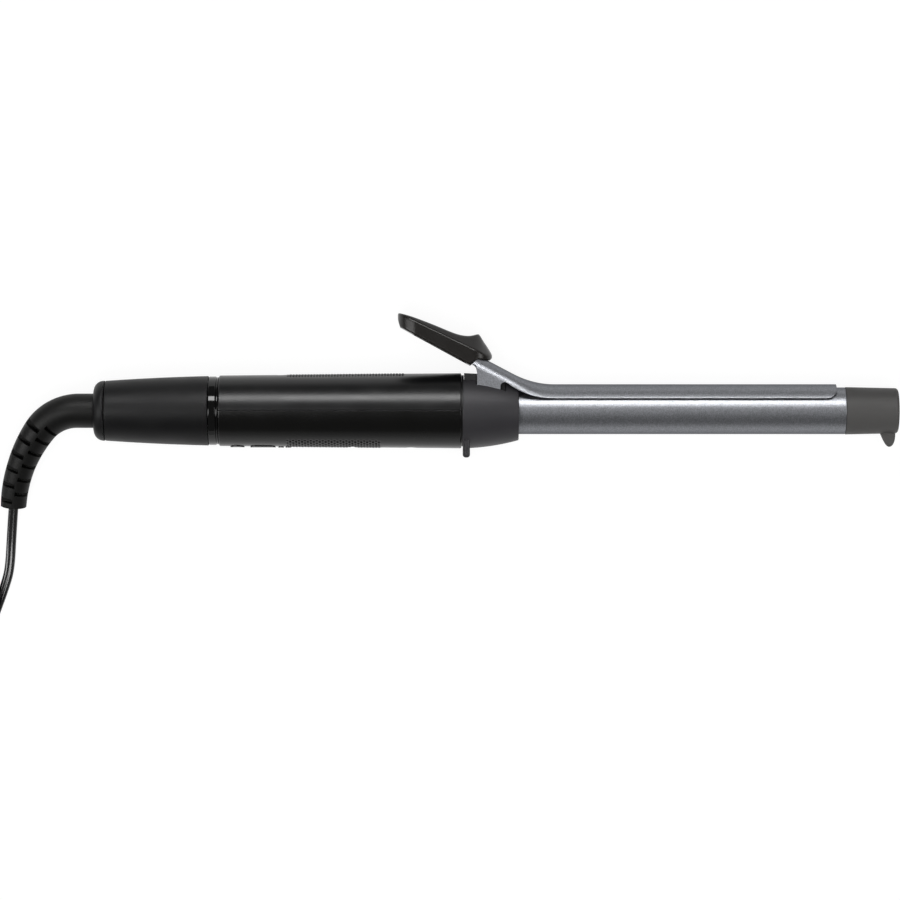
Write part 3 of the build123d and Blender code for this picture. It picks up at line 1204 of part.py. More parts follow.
PLUG_Z = PLUG_THICKNESS / 2 + FIT
tail_start = coil_stop + coil_out * CORD_WIDTH
tail_bend = tail_start + coil_out * 11.0
plug_rear = tail_bend + Vector(2.0, 24.0, PLUG_Z - tail_bend.Z)
tail_path = soft_path([tail_start, tail_bend, plug_rear - Vector(0, 11.5, 0), plug_rear])
with BuildPart() as cord_tail:
    tail_volume = flex(tail_path)
report("tail", cord_tail, tail_volume)
print("cord length", round(cord_path.length + coil_path.length + tail_path.length))


def plug_plane(reach):
    """Plane square to the plug, at a distance from its rear: local x is X, local y is Z."""
    return Plane(origin=plug_rear + Vector(0, reach, 0), x_dir=(1, 0, 0), z_dir=(0, -1, 0))


def plug_section(reach, width, thickness, corner):
    """Rounded section of the plug's body."""
    with BuildSketch(plug_plane(reach)) as face:
        RectangleRounded(width, thickness, corner)
    return face.sketch


with BuildPart() as plug_body:
    grip = plug_section(0, PLUG_REAR_WIDTH, PLUG_REAR_THICKNESS, PLUG_REAR_THICKNESS / 3)
    shoulder = plug_section(PLUG_LENGTH - PLUG_RIM, PLUG_FACE_WIDTH, PLUG_THICKNESS, PLUG_CORNER)
    loft([grip, shoulder])
    extrude(shoulder, amount=-PLUG_RIM)
    with BuildSketch(plug_plane(PLUG_LENGTH)):
        with Locations((PLUG_PIN_PITCH / 2, 0), (-PLUG_PIN_PITCH / 2, 0)):
            Circle(PLUG_ROOT_R + FIT)
    extrude(amount=PLUG_PIN_SEAT + FIT, mode=Mode.SUBTRACT)
    with BuildSketch(plug_plane(PLUG_LENGTH)):
        with Locations((PLUG_PIN_PITCH / 2, 0), (-PLUG_PIN_PITCH / 2, 0)):
            Circle(PLUG_PIN_R + 2 * FIT)
    extrude(amount=PLUG_EYE, mode=Mode.SUBTRACT)
with BuildPart() as plug_pins:
    with BuildSketch(plug_plane(PLUG_LENGTH - PLUG_PIN_SEAT)):
        with Locations((PLUG_PIN_PITCH / 2, 0), (-PLUG_PIN_PITCH / 2, 0)):
            Circle(PLUG_ROOT_R)
    extrude(amount=-PLUG_PIN_SEAT - PLUG_PIN_LENGTH / 2)
    with BuildSketch(plug_plane(PLUG_LENGTH + FIT)):
        with Locations((PLUG_PIN_PITCH / 2, 0), (-PLUG_PIN_PITCH / 2, 0)):
            Circle(PLUG_PIN_R)
    extrude(amount=FIT - PLUG_PIN_LENGTH)
    fillet(edges().group_by(Axis.Y)[-1], PLUG_PIN_R / 2)

pieces = {
    "barrel": barrel,
    "cool_tip": cool_tip,
    "clip": clip,
    "hinge_bracket": hinge_bracket,
    "hinge_pin": hinge_pin,
    "clip_spring": clip_spring,
    "thumb_lever": thumb_lever,
    "lever_rivets": lever_rivets,
    "collar": collar,
    "hinge_block": hinge_block,
    "frame_screws": frame_screws,
    "lever_side_shell": lever_side_shell,
    "underside_shell": underside_shell,
    "shell_screws": shell_screws,
    "power_key": power_key,
    "heat_rocker": heat_rocker,
    "indicator_lenses": indicator_lenses,
    "trim_ring": trim_ring,
    "rear_sleeve": rear_sleeve,
    "rear_cap": rear_cap,
    "heater_clamp_upper": heater_clamp_upper,
    "heater_clamp_lower": heater_clamp_lower,
    "heater_plate": heater_plate,
    "heater_leads": heater_leads,
    "thermistor": thermistor,
    "thermal_fuse": thermal_fuse,
    "control_board": control_board,
    "board_components": board_components,
    "key_switches": key_switches,
    "supply_leads": supply_leads,
    "swivel_socket": swivel_socket,
    "brush_contacts": brush_contacts,
    "swivel_rotor": swivel_rotor,
    "slip_rings": slip_rings,
    "strain_relief": strain_relief,
    "cord": cord,
    "cord_coil": cord_coil,
    "cord_tail": cord_tail,
    "cord_tie": cord_tie,
    "plug_body": plug_body,
    "plug_pins": plug_pins,
}
for name, piece in pieces.items():
    piece.part.label = name
    export_step(piece.part, f"parts/{name}.step")
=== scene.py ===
# %% [markdown]
# # A curling iron, dressed for the camera
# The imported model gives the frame: every piece of the iron is already there as a solid, in metres.
# Here each piece that can be seen gets a finer surface and a finish. The surfaces are grids of points
# worked out with numpy, so a shape is a formula and not a pile of edits.

# %% Load the frame
import bmesh
import bpy
import numpy as np
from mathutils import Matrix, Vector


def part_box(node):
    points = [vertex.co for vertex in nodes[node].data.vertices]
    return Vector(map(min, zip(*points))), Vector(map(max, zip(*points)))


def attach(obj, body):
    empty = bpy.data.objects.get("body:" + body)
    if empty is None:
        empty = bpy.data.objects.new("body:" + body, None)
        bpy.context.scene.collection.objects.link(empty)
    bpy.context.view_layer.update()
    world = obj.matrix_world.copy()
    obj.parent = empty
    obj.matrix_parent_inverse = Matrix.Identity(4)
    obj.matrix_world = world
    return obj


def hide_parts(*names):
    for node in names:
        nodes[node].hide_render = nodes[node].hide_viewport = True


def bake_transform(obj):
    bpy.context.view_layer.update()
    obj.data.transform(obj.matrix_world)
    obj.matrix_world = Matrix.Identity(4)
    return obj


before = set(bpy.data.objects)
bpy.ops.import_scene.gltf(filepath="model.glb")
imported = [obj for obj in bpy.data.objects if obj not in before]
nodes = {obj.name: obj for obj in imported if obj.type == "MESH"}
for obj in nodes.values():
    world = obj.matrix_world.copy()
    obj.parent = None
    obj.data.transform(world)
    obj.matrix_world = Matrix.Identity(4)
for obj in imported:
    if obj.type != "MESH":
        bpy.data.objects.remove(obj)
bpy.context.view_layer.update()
MM = 0.001
print("nodes in the frame:", len(nodes))

# %% [markdown]
# ## Camera
# The photograph looks straight down on an iron that lies on its side. A long lens keeps the view almost
# parallel. The barrel is 19 mm thick and 46.8 pixels wide, so the 900 pixels span about 366 mm at the axis.
# The values here and below are in millimetres, unless a line says otherwise.

# %% Camera
AXIS_Z = 15.3
VIEW_WIDTH, VIEW_Y, CAMERA_RISE, SENSOR = 366.5, -15.98, 1700.0, 36.0


def placed(name, data):
    """A new object in the scene, at the origin."""
    made = bpy.data.objects.new(name, data)
    bpy.context.scene.collection.objects.link(made)
    return made


view = bpy.data.cameras.new("camera")
view.sensor_width = SENSOR
view.lens = SENSOR * CAMERA_RISE / VIEW_WIDTH
view.clip_end = 20
camera = placed("camera", view)
camera.location = (0, VIEW_Y * MM, (AXIS_Z + CAMERA_RISE) * MM)
bpy.context.scene.camera = camera
bpy.context.scene.view_settings.view_transform = "Standard"
print("lens", round(view.lens, 1), "mm")

# %% [markdown]
# ## Finishes: helpers
# Colours are written as sRGB hex, the way a colour picker shows them, and one function turns them to the
# linear values that the shader works with. Others add a node, give inputs their values or links, and start a
# material, so each finish below reads as a short recipe.


# %% Colour
def linear(hexcode):
    """sRGB hex to linear RGBA: the sRGB curve undone channel by channel."""
    srgb = np.array([int(hexcode[i:i + 2], 16) for i in (1, 3, 5)]) / 255
    low = srgb / 12.92
    high = ((srgb + 0.055) / 1.055) ** 2.4
    return (*np.where(srgb <= 0.04045, low, high), 1.0)


print("mid grey #808080 is", round(linear("#808080")[0], 3), "in linear light")


# %% Nodes and materials
def wire(tree, node, sockets):
    """Give each named input of a node its value, or link it to the output that is given."""
    for key, value in sockets.items():
        if isinstance(value, bpy.types.NodeSocket):
            tree.links.new(value, node.inputs[key])
        else:
            node.inputs[key].default_value = value


def add(tree, kind, sockets=(), **choices):
    """Add a node: choices are its own settings, sockets are values or outputs to link in."""
    made = tree.nodes.new(kind)
    for key, value in choices.items():
        setattr(made, key, value)
    wire(tree, made, dict(sockets))
    return made


def finish(name, sockets):
    """A material with one Principled shader, and its object coordinates to hang patterns on."""
    material = bpy.data.materials.new(name)
    material.use_nodes = True
    tree = material.node_tree
    shader = tree.nodes["Principled BSDF"]
    wire(tree, shader, sockets)
    place = add(tree, "ShaderNodeTexCoord").outputs["Object"]
    return material, tree, shader, place


def per_mm(size):
    """Scale of a pattern whose cells are that many millimetres wide."""
    return 1 / (size * MM)


print("a grain of 0.5 mm has the scale", round(per_mm(0.5)))

# %% [markdown]
# ## The coated barrel and clip
# Barrel and clip are aluminium and steel under a sprayed metallic coat, a grey that is nearly all metal. Close
# up it sparkles, because flakes in the coat lie at slightly different angles. Voronoi cells stand for the
# flakes: each cell tilts the surface a little and is a little lighter or darker. Real flakes are 0.05 mm wide,
# which is far below a pixel, so they are drawn at 0.34 mm to show at all. Seen at a low angle, such a coat
# stays grey where bare metal would turn white, so its edge tint is dark.

# %% Coated metal
FLAKE, FLAKE_DEPTH, CLOUD = 0.34, 0.02, 1.6
EDGE_TINT = (0.35, 0.35, 0.36, 1)
coat, tree, shader, place = finish("metallic_coat", {"Metallic": 0.95, "Roughness": 0.39,
                                                     "Specular Tint": EDGE_TINT})
flakes = add(tree, "ShaderNodeTexVoronoi", {"Vector": place, "Scale": per_mm(FLAKE)})
cloud = add(tree, "ShaderNodeTexNoise", {"Vector": place, "Scale": per_mm(CLOUD), "Detail": 3.0})
tone = add(tree, "ShaderNodeValToRGB", {"Fac": flakes.outputs["Color"]})
tone.color_ramp.elements[0].color = linear("#727377")
tone.color_ramp.elements[1].color = linear("#919397")
uneven = add(tree, "ShaderNodeMapRange", {"Value": cloud.outputs["Fac"], "To Min": 0.35, "To Max": 0.43})
tilt = add(tree, "ShaderNodeBump", {"Height": flakes.outputs["Color"], "Strength": 0.12,
                                    "Distance": FLAKE_DEPTH * MM})
wire(tree, shader, {"Base Color": tone.outputs["Color"], "Roughness": uneven.outputs["Result"],
                    "Normal": tilt.outputs["Normal"]})
print("finish:", coat.name)

# %% [markdown]
# ## Moulded plastics
# The handle is black ABS, satin on the lever's side and glossy below. Sleeve and cap are matt, collar and tip
# are a heat-proof nylon that is greyer and has a spark-eroded grain, and the lever is the same nylon in a
# brownish black. They differ in colour, roughness and grain, so one loop makes them all: noise gives the grain
# as a bump, and a slower noise makes the gloss uneven, as handling does. The index of refraction starts at 1.5
# and is matched to the object: lower where a skin gives less gloss than that, higher on the shiny flex. A grey
# tint dims every gloss a little, because a real skin is never quite clean.

# %% Plastics
PLASTICS = {
    # name: colour, roughness, grain, grain depth, index of refraction
    "gloss_black_abs": ("#080807", 0.25, 0.5, 0.002, 1.42),  # polished mould: a clear line of light
    "satin_black_abs": ("#0c0c0d", 0.31, 0.5, 0.003, 1.5),  # etched mould: the same line, softer
    "matt_black_abs": ("#0c0c0d", 0.47, 0.30, 0.006, 1.36),  # blasted mould: a broad dull band
    "grained_grey_nylon": ("#51504f", 0.55, 0.34, 0.014, 1.35),  # glass-filled: shade, but hardly a highlight
    "grained_dark_nylon": ("#2e2d30", 0.48, 0.34, 0.012, 1.44),  # the same, dyed darker
    "satin_brown_black_nylon": ("#15120f", 0.30, 0.40, 0.004, 1.5),  # worn smooth by thumbs: a warm sheen
    "piano_black_ring": ("#060606", 0.06, 2.0, 0.0005, 1.5),  # lacquered: it mirrors the studio
    "soft_black_pvc": ("#0c0c0b", 0.50, 0.36, 0.008, 1.35),  # soft and a little chalky: dull
    "cord_black_pvc": ("#0a0a0a", 0.22, 2.0, 0.0003, 1.90),  # extruded: thin bright lines along it
    # this black also serves as painted shade on the collar's shoulder, which is really the collar's grey nylon
    "inner_black_moulding_and_painted_shade": ("#0c0c0c", 0.45, 0.40, 0.006, 1.5),  # plain, never polished
    "green_laminate": ("#1f5a33", 0.40, 0.30, 0.004, 1.5),  # solder mask on glass laminate
    "black_component_case": ("#1c1c1e", 0.45, 0.20, 0.004, 1.5),  # epoxy
    "glass_fibre_sleeve": ("#cfcabb", 0.80, 0.45, 0.060, 1.5),  # braided: rough and off-white
    "white_alumina": ("#e6e2d8", 0.60, 0.15, 0.004, 1.5),  # sintered: like chalk
    "black_woven_tape": ("#151516", 0.75, 0.35, 0.050, 1.5),  # woven: no gloss at all
}
GLOSS_TINT = (0.6, 0.6, 0.6, 1)
HANDLED, GRAIN_STRENGTH = 14.0, 0.6
plastics = {}
for name, (colour, rough, grain, depth, index) in PLASTICS.items():
    plastics[name], tree, shader, place = finish(name, {
        "Base Color": linear(colour), "Roughness": rough, "Specular Tint": GLOSS_TINT, "IOR": index})
    fine = add(tree, "ShaderNodeTexNoise", {"Vector": place, "Scale": per_mm(grain), "Detail": 2.0})
    slow = add(tree, "ShaderNodeTexNoise", {"Vector": place, "Scale": per_mm(HANDLED), "Detail": 3.0})
    worn = add(tree, "ShaderNodeMapRange", {"Value": slow.outputs["Fac"], "From Min": 0.3, "From Max": 0.7,
                                            "To Min": rough * 0.9, "To Max": rough * 1.12})
    bump = add(tree, "ShaderNodeBump", {"Height": fine.outputs["Fac"], "Strength": GRAIN_STRENGTH,
                                        "Distance": depth * MM})
    wire(tree, shader, {"Roughness": worn.outputs["Result"], "Normal": bump.outputs["Normal"]})
print("plastics:", len(plastics))

# %% [markdown]
# ## Metals inside and on the plug
# Hinge, screws, contacts and pins are plated or turned metal. Fine streaks along one axis stand for the
# drawing and turning marks, at 0.2 mm, as coarse as they need to be to show. The two lenses are smoked acrylic.

# %% Metals and lenses
METALS = {
    # name: colour, roughness
    "zinc_plated_steel": ("#b9bcbf", 0.34),
    "drawn_aluminium": ("#cfd0d2", 0.38),
    "turned_brass": ("#d2b066", 0.28),
    "nickel_plated_pin": ("#d8d6d0", 0.16),
}
STREAK, STREAK_STRETCH = 0.2, (1.0, 0.06, 1.0)
metals = {}
for name, (colour, rough) in METALS.items():
    metals[name], tree, shader, place = finish(name, {"Base Color": linear(colour), "Metallic": 1.0,
                                                      "Roughness": rough})
    drawn = add(tree, "ShaderNodeMapping", {"Vector": place, "Scale": STREAK_STRETCH})
    streak = add(tree, "ShaderNodeTexNoise", {"Vector": drawn.outputs["Vector"], "Scale": per_mm(STREAK)})
    marks = add(tree, "ShaderNodeMapRange", {"Value": streak.outputs["Fac"], "To Min": rough * 0.7,
                                             "To Max": rough * 1.3})
    wire(tree, shader, {"Roughness": marks.outputs["Result"]})
smoked_lens = finish("smoked_lens", {"Base Color": linear("#241a19"), "Roughness": 0.08,
                                     "Transmission Weight": 0.4, "IOR": 1.49})[0]
print("metals:", len(metals))

# %% [markdown]
# ## Finishes for the nodes that stay
# Inner pieces keep their CAD shape, which is right as it is, and only take a finish. Most are hidden, but
# the hinge shows in the collar's window and the keys show from below.

# %% Finishes by node
STAYING = {
    plastics["inner_black_moulding_and_painted_shade"]: ["hinge_block", "swivel_socket", "swivel_rotor"],
    plastics["gloss_black_abs"]: ["power_key", "heat_rocker"],
    plastics["black_component_case"]: ["board_components", "key_switches"],
    plastics["green_laminate"]: ["control_board"],
    plastics["glass_fibre_sleeve"]: ["heater_leads"],
    plastics["white_alumina"]: ["heater_plate", "thermistor"],
    plastics["cord_black_pvc"]: ["supply_leads"],
    metals["zinc_plated_steel"]: ["hinge_bracket", "hinge_pin", "lever_rivets", "frame_screws", "shell_screws"],
    metals["drawn_aluminium"]: ["heater_clamp_upper", "heater_clamp_lower", "thermal_fuse"],
    metals["turned_brass"]: ["slip_rings", "brush_contacts"],
    smoked_lens: ["indicator_lenses"],
}
for material, names in STAYING.items():
    for name in names:
        nodes[name].data.materials.clear()
        nodes[name].data.materials.append(material)
print("nodes dressed:", sum(len(names) for names in STAYING.values()))

# %% [markdown]
# ## From a grid of points to a piece
# A surface is an array of points with two parameters. Its faces join each point to its neighbours. Where
# a grid meets itself, or another grid of the same piece, the doubled points are welded, so seams and
# poles are closed, and then the normals are turned outwards.

# %% Grids to meshes
WELD, SLIVER = 0.002, 0.0005


def quads(grid):
    """Faces of a grid of points: each cell joins a point to the next along both parameters."""
    rows, cols = grid.shape[:2]
    index = np.arange(rows * cols).reshape(rows, cols)
    return np.stack([index[:-1, :-1], index[1:, :-1], index[1:, 1:], index[:-1, 1:]], -1).reshape(-1, 4)


def surface(name, grids):
    """Mesh from grids of points in millimetres: doubled points welded, faces outwards, smooth."""
    points, faces, start = [], [], 0
    for grid in grids:
        points.append(grid.reshape(-1, 3) * MM)
        faces.append(quads(grid) + start)
        start += points[-1].shape[0]
    mesh = bpy.data.meshes.new(name)
    mesh.from_pydata(np.concatenate(points), [], np.concatenate(faces))
    work = bmesh.new()
    work.from_mesh(mesh)
    bmesh.ops.remove_doubles(work, verts=work.verts, dist=WELD * MM)
    bmesh.ops.dissolve_degenerate(work, edges=work.edges, dist=SLIVER * MM)
    bmesh.ops.recalc_face_normals(work, faces=work.faces)
    work.to_mesh(mesh)
    work.free()
    mesh.shade_smooth()
    return mesh


print("points closer than", WELD, "mm are welded")


# %% A piece
def piece(name, grids, body, material, replaced):
    """One object from grids of points, with its finish, riding on its body if it has a single one."""
    made = placed(name, surface(name, grids))
    made.data.materials.append(material)
    if body:
        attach(made, body)
    if replaced:
        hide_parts(*replaced)
    print(name, len(made.data.polygons), "faces")
    return made


# %% [markdown]
# ## The cord
# A twin flex, 4.0 by 2.3 mm: two round cores side by side with a valley between. It leaves the strain relief
# straight, comes down to the table, and the rest of its 1.73 m is wound into a flat store coil outside the
# picture, with the plug beside it. One NURBS spline carries the whole length; the coil's turns are more of
# its control points, four layers of three turns that spiral in and out.

# %% The store coil
CORD_Z = 1.65
COIL_CENTRE = np.array([-213.0, -77.7, CORD_Z])
COIL_R, COIL_PITCH, COIL_LAYER, COIL_TURNS, COIL_LAYERS = 26.5, 4.6, 2.9, 3, 4
COIL_ENTRY = np.radians(20.0)
COIL_END = COIL_LAYERS * COIL_TURNS + (COIL_LAYERS - 1) / 2
POINTS_A_TURN = 24


def coil_line(turn):
    """Spirals in and out at one pitch to a turn, and climbs a layer during each half turn between them."""
    layer, part = np.divmod(turn, COIL_TURNS + 0.5)
    reach = np.where(part <= COIL_TURNS + 0.25, part, 2 * COIL_TURNS + 0.5 - part)
    radius = COIL_R - COIL_PITCH * np.where(layer % 2 == 0, reach, COIL_TURNS - reach)
    climb = (1 - np.cos(2 * np.pi * np.maximum(part - COIL_TURNS, 0))) / 2
    angle = -COIL_ENTRY - 2 * np.pi * turn
    return COIL_CENTRE + np.stack([radius * np.cos(angle), radius * np.sin(angle),
                                   (layer + climb) * COIL_LAYER], -1)


store = coil_line(np.linspace(0, COIL_END, int(COIL_END * POINTS_A_TURN) + 1))
print("store coil:", COIL_LAYERS, "layers,", round(2 * COIL_R), "mm across its outer line")

# %% The cord's route
EXIT = np.array([-178.71, -38.85, 5.76])
EXIT_HEADING = np.array([-0.090, -0.967, -0.238])
TOUCH_DOWN = (-180.6, -64.5, CORD_Z)
STRAIGHT, COIL_LEAD, TAIL_RUN, PLUG_LEAD = 12.0, 4.0, 15.0, 11.5
PLUG_ASIDE, PLUG_AHEAD, PLUG_Z = 2.0, 24.0, 6.9  # the plug's rear: from the tail's bend, and its height
coil_way = np.array([np.sin(COIL_ENTRY), np.cos(COIL_ENTRY), 0])
cord_end = store[0] + coil_way * COIL_LEAD
tail_bend = store[-1] + coil_way * TAIL_RUN
PLUG_REAR = np.array([tail_bend[0] + PLUG_ASIDE, tail_bend[1] + PLUG_AHEAD, PLUG_Z])
route = np.vstack([
    EXIT,
    EXIT + EXIT_HEADING * STRAIGHT,
    TOUCH_DOWN,
    cord_end + coil_way * STRAIGHT,
    cord_end,
    store,
    store[-1] + coil_way * COIL_LEAD,
    tail_bend,
    PLUG_REAR - (0, PLUG_LEAD, 0),
    PLUG_REAR,
])
print("route:", len(route), "control points")


# %% A smooth line through the route
def smooth_line(points, name):
    """Points of the NURBS spline that has these control points, in millimetres."""
    curve = bpy.data.curves.new(name, "CURVE")
    curve.dimensions = "3D"
    spline = curve.splines.new("NURBS")
    spline.points.add(len(points) - 1)
    spline.points.foreach_set("co", np.hstack([points, np.ones((len(points), 1))]).ravel())
    spline.order_u = 3
    spline.use_endpoint_u = True
    spline.resolution_u = 6
    carrier = bpy.data.objects.new(name, curve)
    mesh = bpy.data.meshes.new_from_object(carrier)
    line = np.empty(len(mesh.vertices) * 3)
    mesh.vertices.foreach_get("co", line)
    bpy.data.objects.remove(carrier)
    bpy.data.curves.remove(curve)
    bpy.data.meshes.remove(mesh)
    return line.reshape(-1, 3)


cord_line = smooth_line(route, "cord_route")
cord_length = np.linalg.norm(np.diff(cord_line, axis=0), axis=1).sum()
print("cord line:", len(cord_line), "points,", round(cord_length), "mm")

# %% [markdown]
# The flex is that line with a section carried along it. The section stays flat: its wide way is level and
# square to the line, its thin way is square to both. It starts a little inside the strain relief.

# %% The flex
CORE_R, CORE_SPREAD, CORD_INSIDE = 1.15, 0.85, 3.0
core = np.linspace(-1, 1, 13) * np.arccos(-CORE_SPREAD / CORE_R)
lobe = CORE_SPREAD + CORE_R * np.cos(core) + 1j * CORE_R * np.sin(core)
flex_section = np.concatenate([lobe, -lobe[1:-1], lobe[:1]])


def carried(line, section):
    """A flat section carried along a line: its real part goes sideways and level, the rest upwards."""
    heading = np.gradient(line, axis=0)
    heading /= np.linalg.norm(heading, axis=1, keepdims=True)
    side = np.cross((0, 0, 1.0), heading)
    side /= np.linalg.norm(side, axis=1, keepdims=True)
    up = np.cross(heading, side)
    return line[:, None] + side[:, None] * section.real[:, None] + up[:, None] * section.imag[:, None]


def capped(skin, middle=None):
    """A skin and its two end caps: each end's loop joined to its mean, or to that end of a middle line."""
    middle = skin.mean(1) if middle is None else middle
    return [skin, *(np.stack([np.broadcast_to(middle[i], skin[i].shape), skin[i]]) for i in (0, -1))]


flex_line = np.vstack([EXIT - EXIT_HEADING * CORD_INSIDE, cord_line])
cord = piece("twin_flex", capped(carried(flex_line, flex_section), flex_line), "cord_end",
             plastics["cord_black_pvc"], ["cord", "cord_coil", "cord_tail"])

# %% [markdown]
# ## Plug
# A flat two-pin plug, moulded on to the flex. Its section is a superellipse, between an ellipse and a
# rectangle, that widens from the cord to the face. Ribs across it give the fingers a hold, and a short ringed
# sleeve guards the cord. The pins are sleeved for half their length, so that a finger never meets live metal.

# %% Plug body
PLUG_LENGTH, PLUG_WIDEST, PLUG_ROUND, NECK_ROUND, PLUG_SWELL, PLUG_SQUARE = 37.0, 28.0, 1.0, 1.2, 0.12, 0.4
GUARD_LENGTH, GUARD_FLARE, GUARD_PITCH, GUARD_DEPTH = 7.0, 0.9, 1.75, 0.35
RIB_Y, RIB_END_Y, RIB_PITCH, RIB_DEPTH = 8.0, 23.6, 2.6, 0.45


def wave(run, pitch):
    """Raised cosine: 0 at every whole pitch and 1 half way between."""
    return 0.5 - 0.5 * np.cos(2 * np.pi * run / pitch)


rounding = np.sin(np.linspace(0, np.pi / 2, 9)[1:])
reach = np.r_[np.linspace(-GUARD_LENGTH, -0.2, 60), np.linspace(0, PLUG_LENGTH - PLUG_ROUND, 150),
              PLUG_LENGTH - PLUG_ROUND + PLUG_ROUND * rounding]
on_guard = reach < 0
share = np.clip(reach / PLUG_WIDEST, 0, 1)
share = share + PLUG_SWELL * np.sin(2 * np.pi * share) * (share - 1)
flare = 1 - np.clip(-reach / GUARD_LENGTH, 0, 1)
step_out = np.clip(reach / NECK_ROUND, 0, 1)
step_out = np.sqrt(step_out * (2 - step_out))
ribs = RIB_DEPTH * wave(reach - RIB_Y, RIB_PITCH) * ((reach > RIB_Y) & (reach < RIB_END_Y))
rings = GUARD_DEPTH * wave(reach, GUARD_PITCH) * on_guard
end_round = 1 - np.sqrt(1 - np.clip(reach - PLUG_LENGTH + PLUG_ROUND, 0, 1) ** 2)


def plug_half(guard, neck, step, spread):
    """Half size across: the guard flares to the neck, which steps out to the body, which spreads ahead."""
    body = neck + (step + spread * share) * step_out
    return (np.where(on_guard, guard + GUARD_FLARE * flare, body) - ribs - rings - end_round)[:, None]


print("plug:", len(reach), "sections over", PLUG_LENGTH + GUARD_LENGTH, "mm")

# %% Plug skin
loop = np.linspace(0, 2 * np.pi, 97)
power = np.where(on_guard, 1.0, 1.0 - PLUG_SQUARE * step_out)[:, None]
wide, thick = (np.sign(v) * np.abs(v) ** power for v in (np.cos(loop), np.sin(loop)))
plug_x = PLUG_REAR[0] + plug_half(guard=2.6, neck=3.5, step=3.5, spread=10.6) * wide
plug_z = PLUG_REAR[2] + plug_half(guard=1.7, neck=2.6, step=1.9, spread=2.3) * thick
plug_y = np.broadcast_to(PLUG_REAR[1] + reach[:, None], plug_x.shape)
plug = piece("moulded_plug", capped(np.stack([plug_x, plug_y, plug_z], -1)), "cord_end",
             plastics["soft_black_pvc"], ["plug_body"])

# %% [markdown]
# Real corners are never sharp. So profiles and outlines are given by their corners, and each corner is swapped
# for a small arc, with a point held beyond its ends so that smooth shading stays in the arc.


# %% Outlines with rounded corners
def rounded(corners, radii, steps=7, hold=0.25):
    """Corners swapped for arcs: each arc touches both edges, with a point held just beyond each end."""
    p = np.asarray(corners, float) @ [1, 1j]
    line = [p[:1]]
    for before, corner, after, radius in zip(p, p[1:], p[2:], radii):
        if radius == 0:
            line.append(np.array([corner]))
            continue
        to, fro = (before - corner) / abs(before - corner), (after - corner) / abs(after - corner)
        half = abs(np.angle(to / fro)) / 2
        reach = radius / np.tan(half)
        centre = corner + (to + fro) / abs(to + fro) * radius / np.sin(half)
        arm = corner + to * reach - centre
        sweep = np.angle((corner + fro * reach - centre) / arm)
        arc = centre + arm * np.exp(1j * sweep * np.linspace(0, 1, steps))
        line.append(np.concatenate([[arc[0] + to * hold * radius], arc, [arc[-1] + fro * hold * radius]]))
    line.append(p[-1:])
    line = np.concatenate(line)
    return np.stack([line.real, line.imag], -1)


def rounded_box(left, right, low, high, radius, steps=7, hold=0.25):
    """A rectangle with rounded corners, as a closed loop from the middle of its lower side."""
    middle = ((left + right) / 2, low)
    corners = [middle, (right, low), (right, high), (left, high), (left, low), middle]
    return rounded(corners, [radius] * 4, steps, hold)


print("a box with rounded corners:", len(rounded_box(0, 4, 0, 2, 0.5)), "points")


# %% Turned walls and upright turned shapes
def wall_corners(start, end, radius, end_radius, inner=0):
    """Corners of a turned wall: out from the inner radius, along the outside, and in again."""
    return [(start, inner), (start, radius), (end, end_radius), (end, inner)]


def spun(profile, x, z, steps=48):
    """A profile of (height along Y, radius) carried round an upright axis through (x, z)."""
    theta = 2 * np.pi * np.linspace(0, 1, steps + 1)
    y, r = np.asarray(profile)[:, :1], np.asarray(profile)[:, 1:]
    return np.stack(np.broadcast_arrays(x + r * np.cos(theta), y, z + r * np.sin(theta)), -1)


# %% Plug pins
FACE_Y = PLUG_REAR[1] + PLUG_LENGTH
PIN_R, PIN_LENGTH, PIN_APART, SUNK = 2.0, 19.0, 9.3, 0.5
GUARDED_R, GUARDED = 1.93, 10.0
sleeve_line = rounded(wall_corners(FACE_Y - SUNK, FACE_Y + GUARDED, GUARDED_R, GUARDED_R), [0, 0.2])
pin_line = rounded(wall_corners(FACE_Y + (GUARDED - SUNK), FACE_Y + PIN_LENGTH, PIN_R, PIN_R), [0.1, 1.2])
pin_places = [(PLUG_REAR[0] + side * PIN_APART, PLUG_REAR[2]) for side in (1, -1)]
sleeves = piece("pin_sleeves", [spun(sleeve_line, *place) for place in pin_places], "cord_end",
                plastics["soft_black_pvc"], [])
pins = piece("plug_pin_ends", [spun(pin_line, *place) for place in pin_places], "cord_end",
             metals["nickel_plated_pin"], ["plug_pins"])

# %% [markdown]
# ## Tie
# A woven tape round the coil keeps the stored length together. It is a rounded loop, square to the turns,
# with a thin section carried round it, and its free end lies on top as a second layer.

# %% Tie: the tape's way
TIE_ANGLE = np.radians(70.0)
TIE_IN, TIE_OUT, TIE_LOW, TIE_HIGH, TIE_HALF, TIE_SHEET, TIE_BEND = 8.37, 29.95, 0.45, 12.1, 4.0, 0.4, 1.0
FLAP_IN, FLAP_OUT, FLAP_LIFT, TAPE_ROUND = 2.5, 2.0, 0.02, 0.19
tie_out = np.array([np.cos(TIE_ANGLE), np.sin(TIE_ANGLE), 0])
tie_along = np.array([-np.sin(TIE_ANGLE), np.cos(TIE_ANGLE), 0])
tie_loop = rounded_box(TIE_IN, TIE_OUT, TIE_LOW, TIE_HIGH, TIE_BEND, steps=9)
tie_flap = np.stack([np.linspace(TIE_IN + FLAP_IN, TIE_OUT - FLAP_OUT, 12),
                     np.full(12, TIE_HIGH + TIE_SHEET + FLAP_LIFT)], -1)
tape = rounded_box(-TIE_HALF, TIE_HALF, 0, TIE_SHEET, TAPE_ROUND, steps=5)


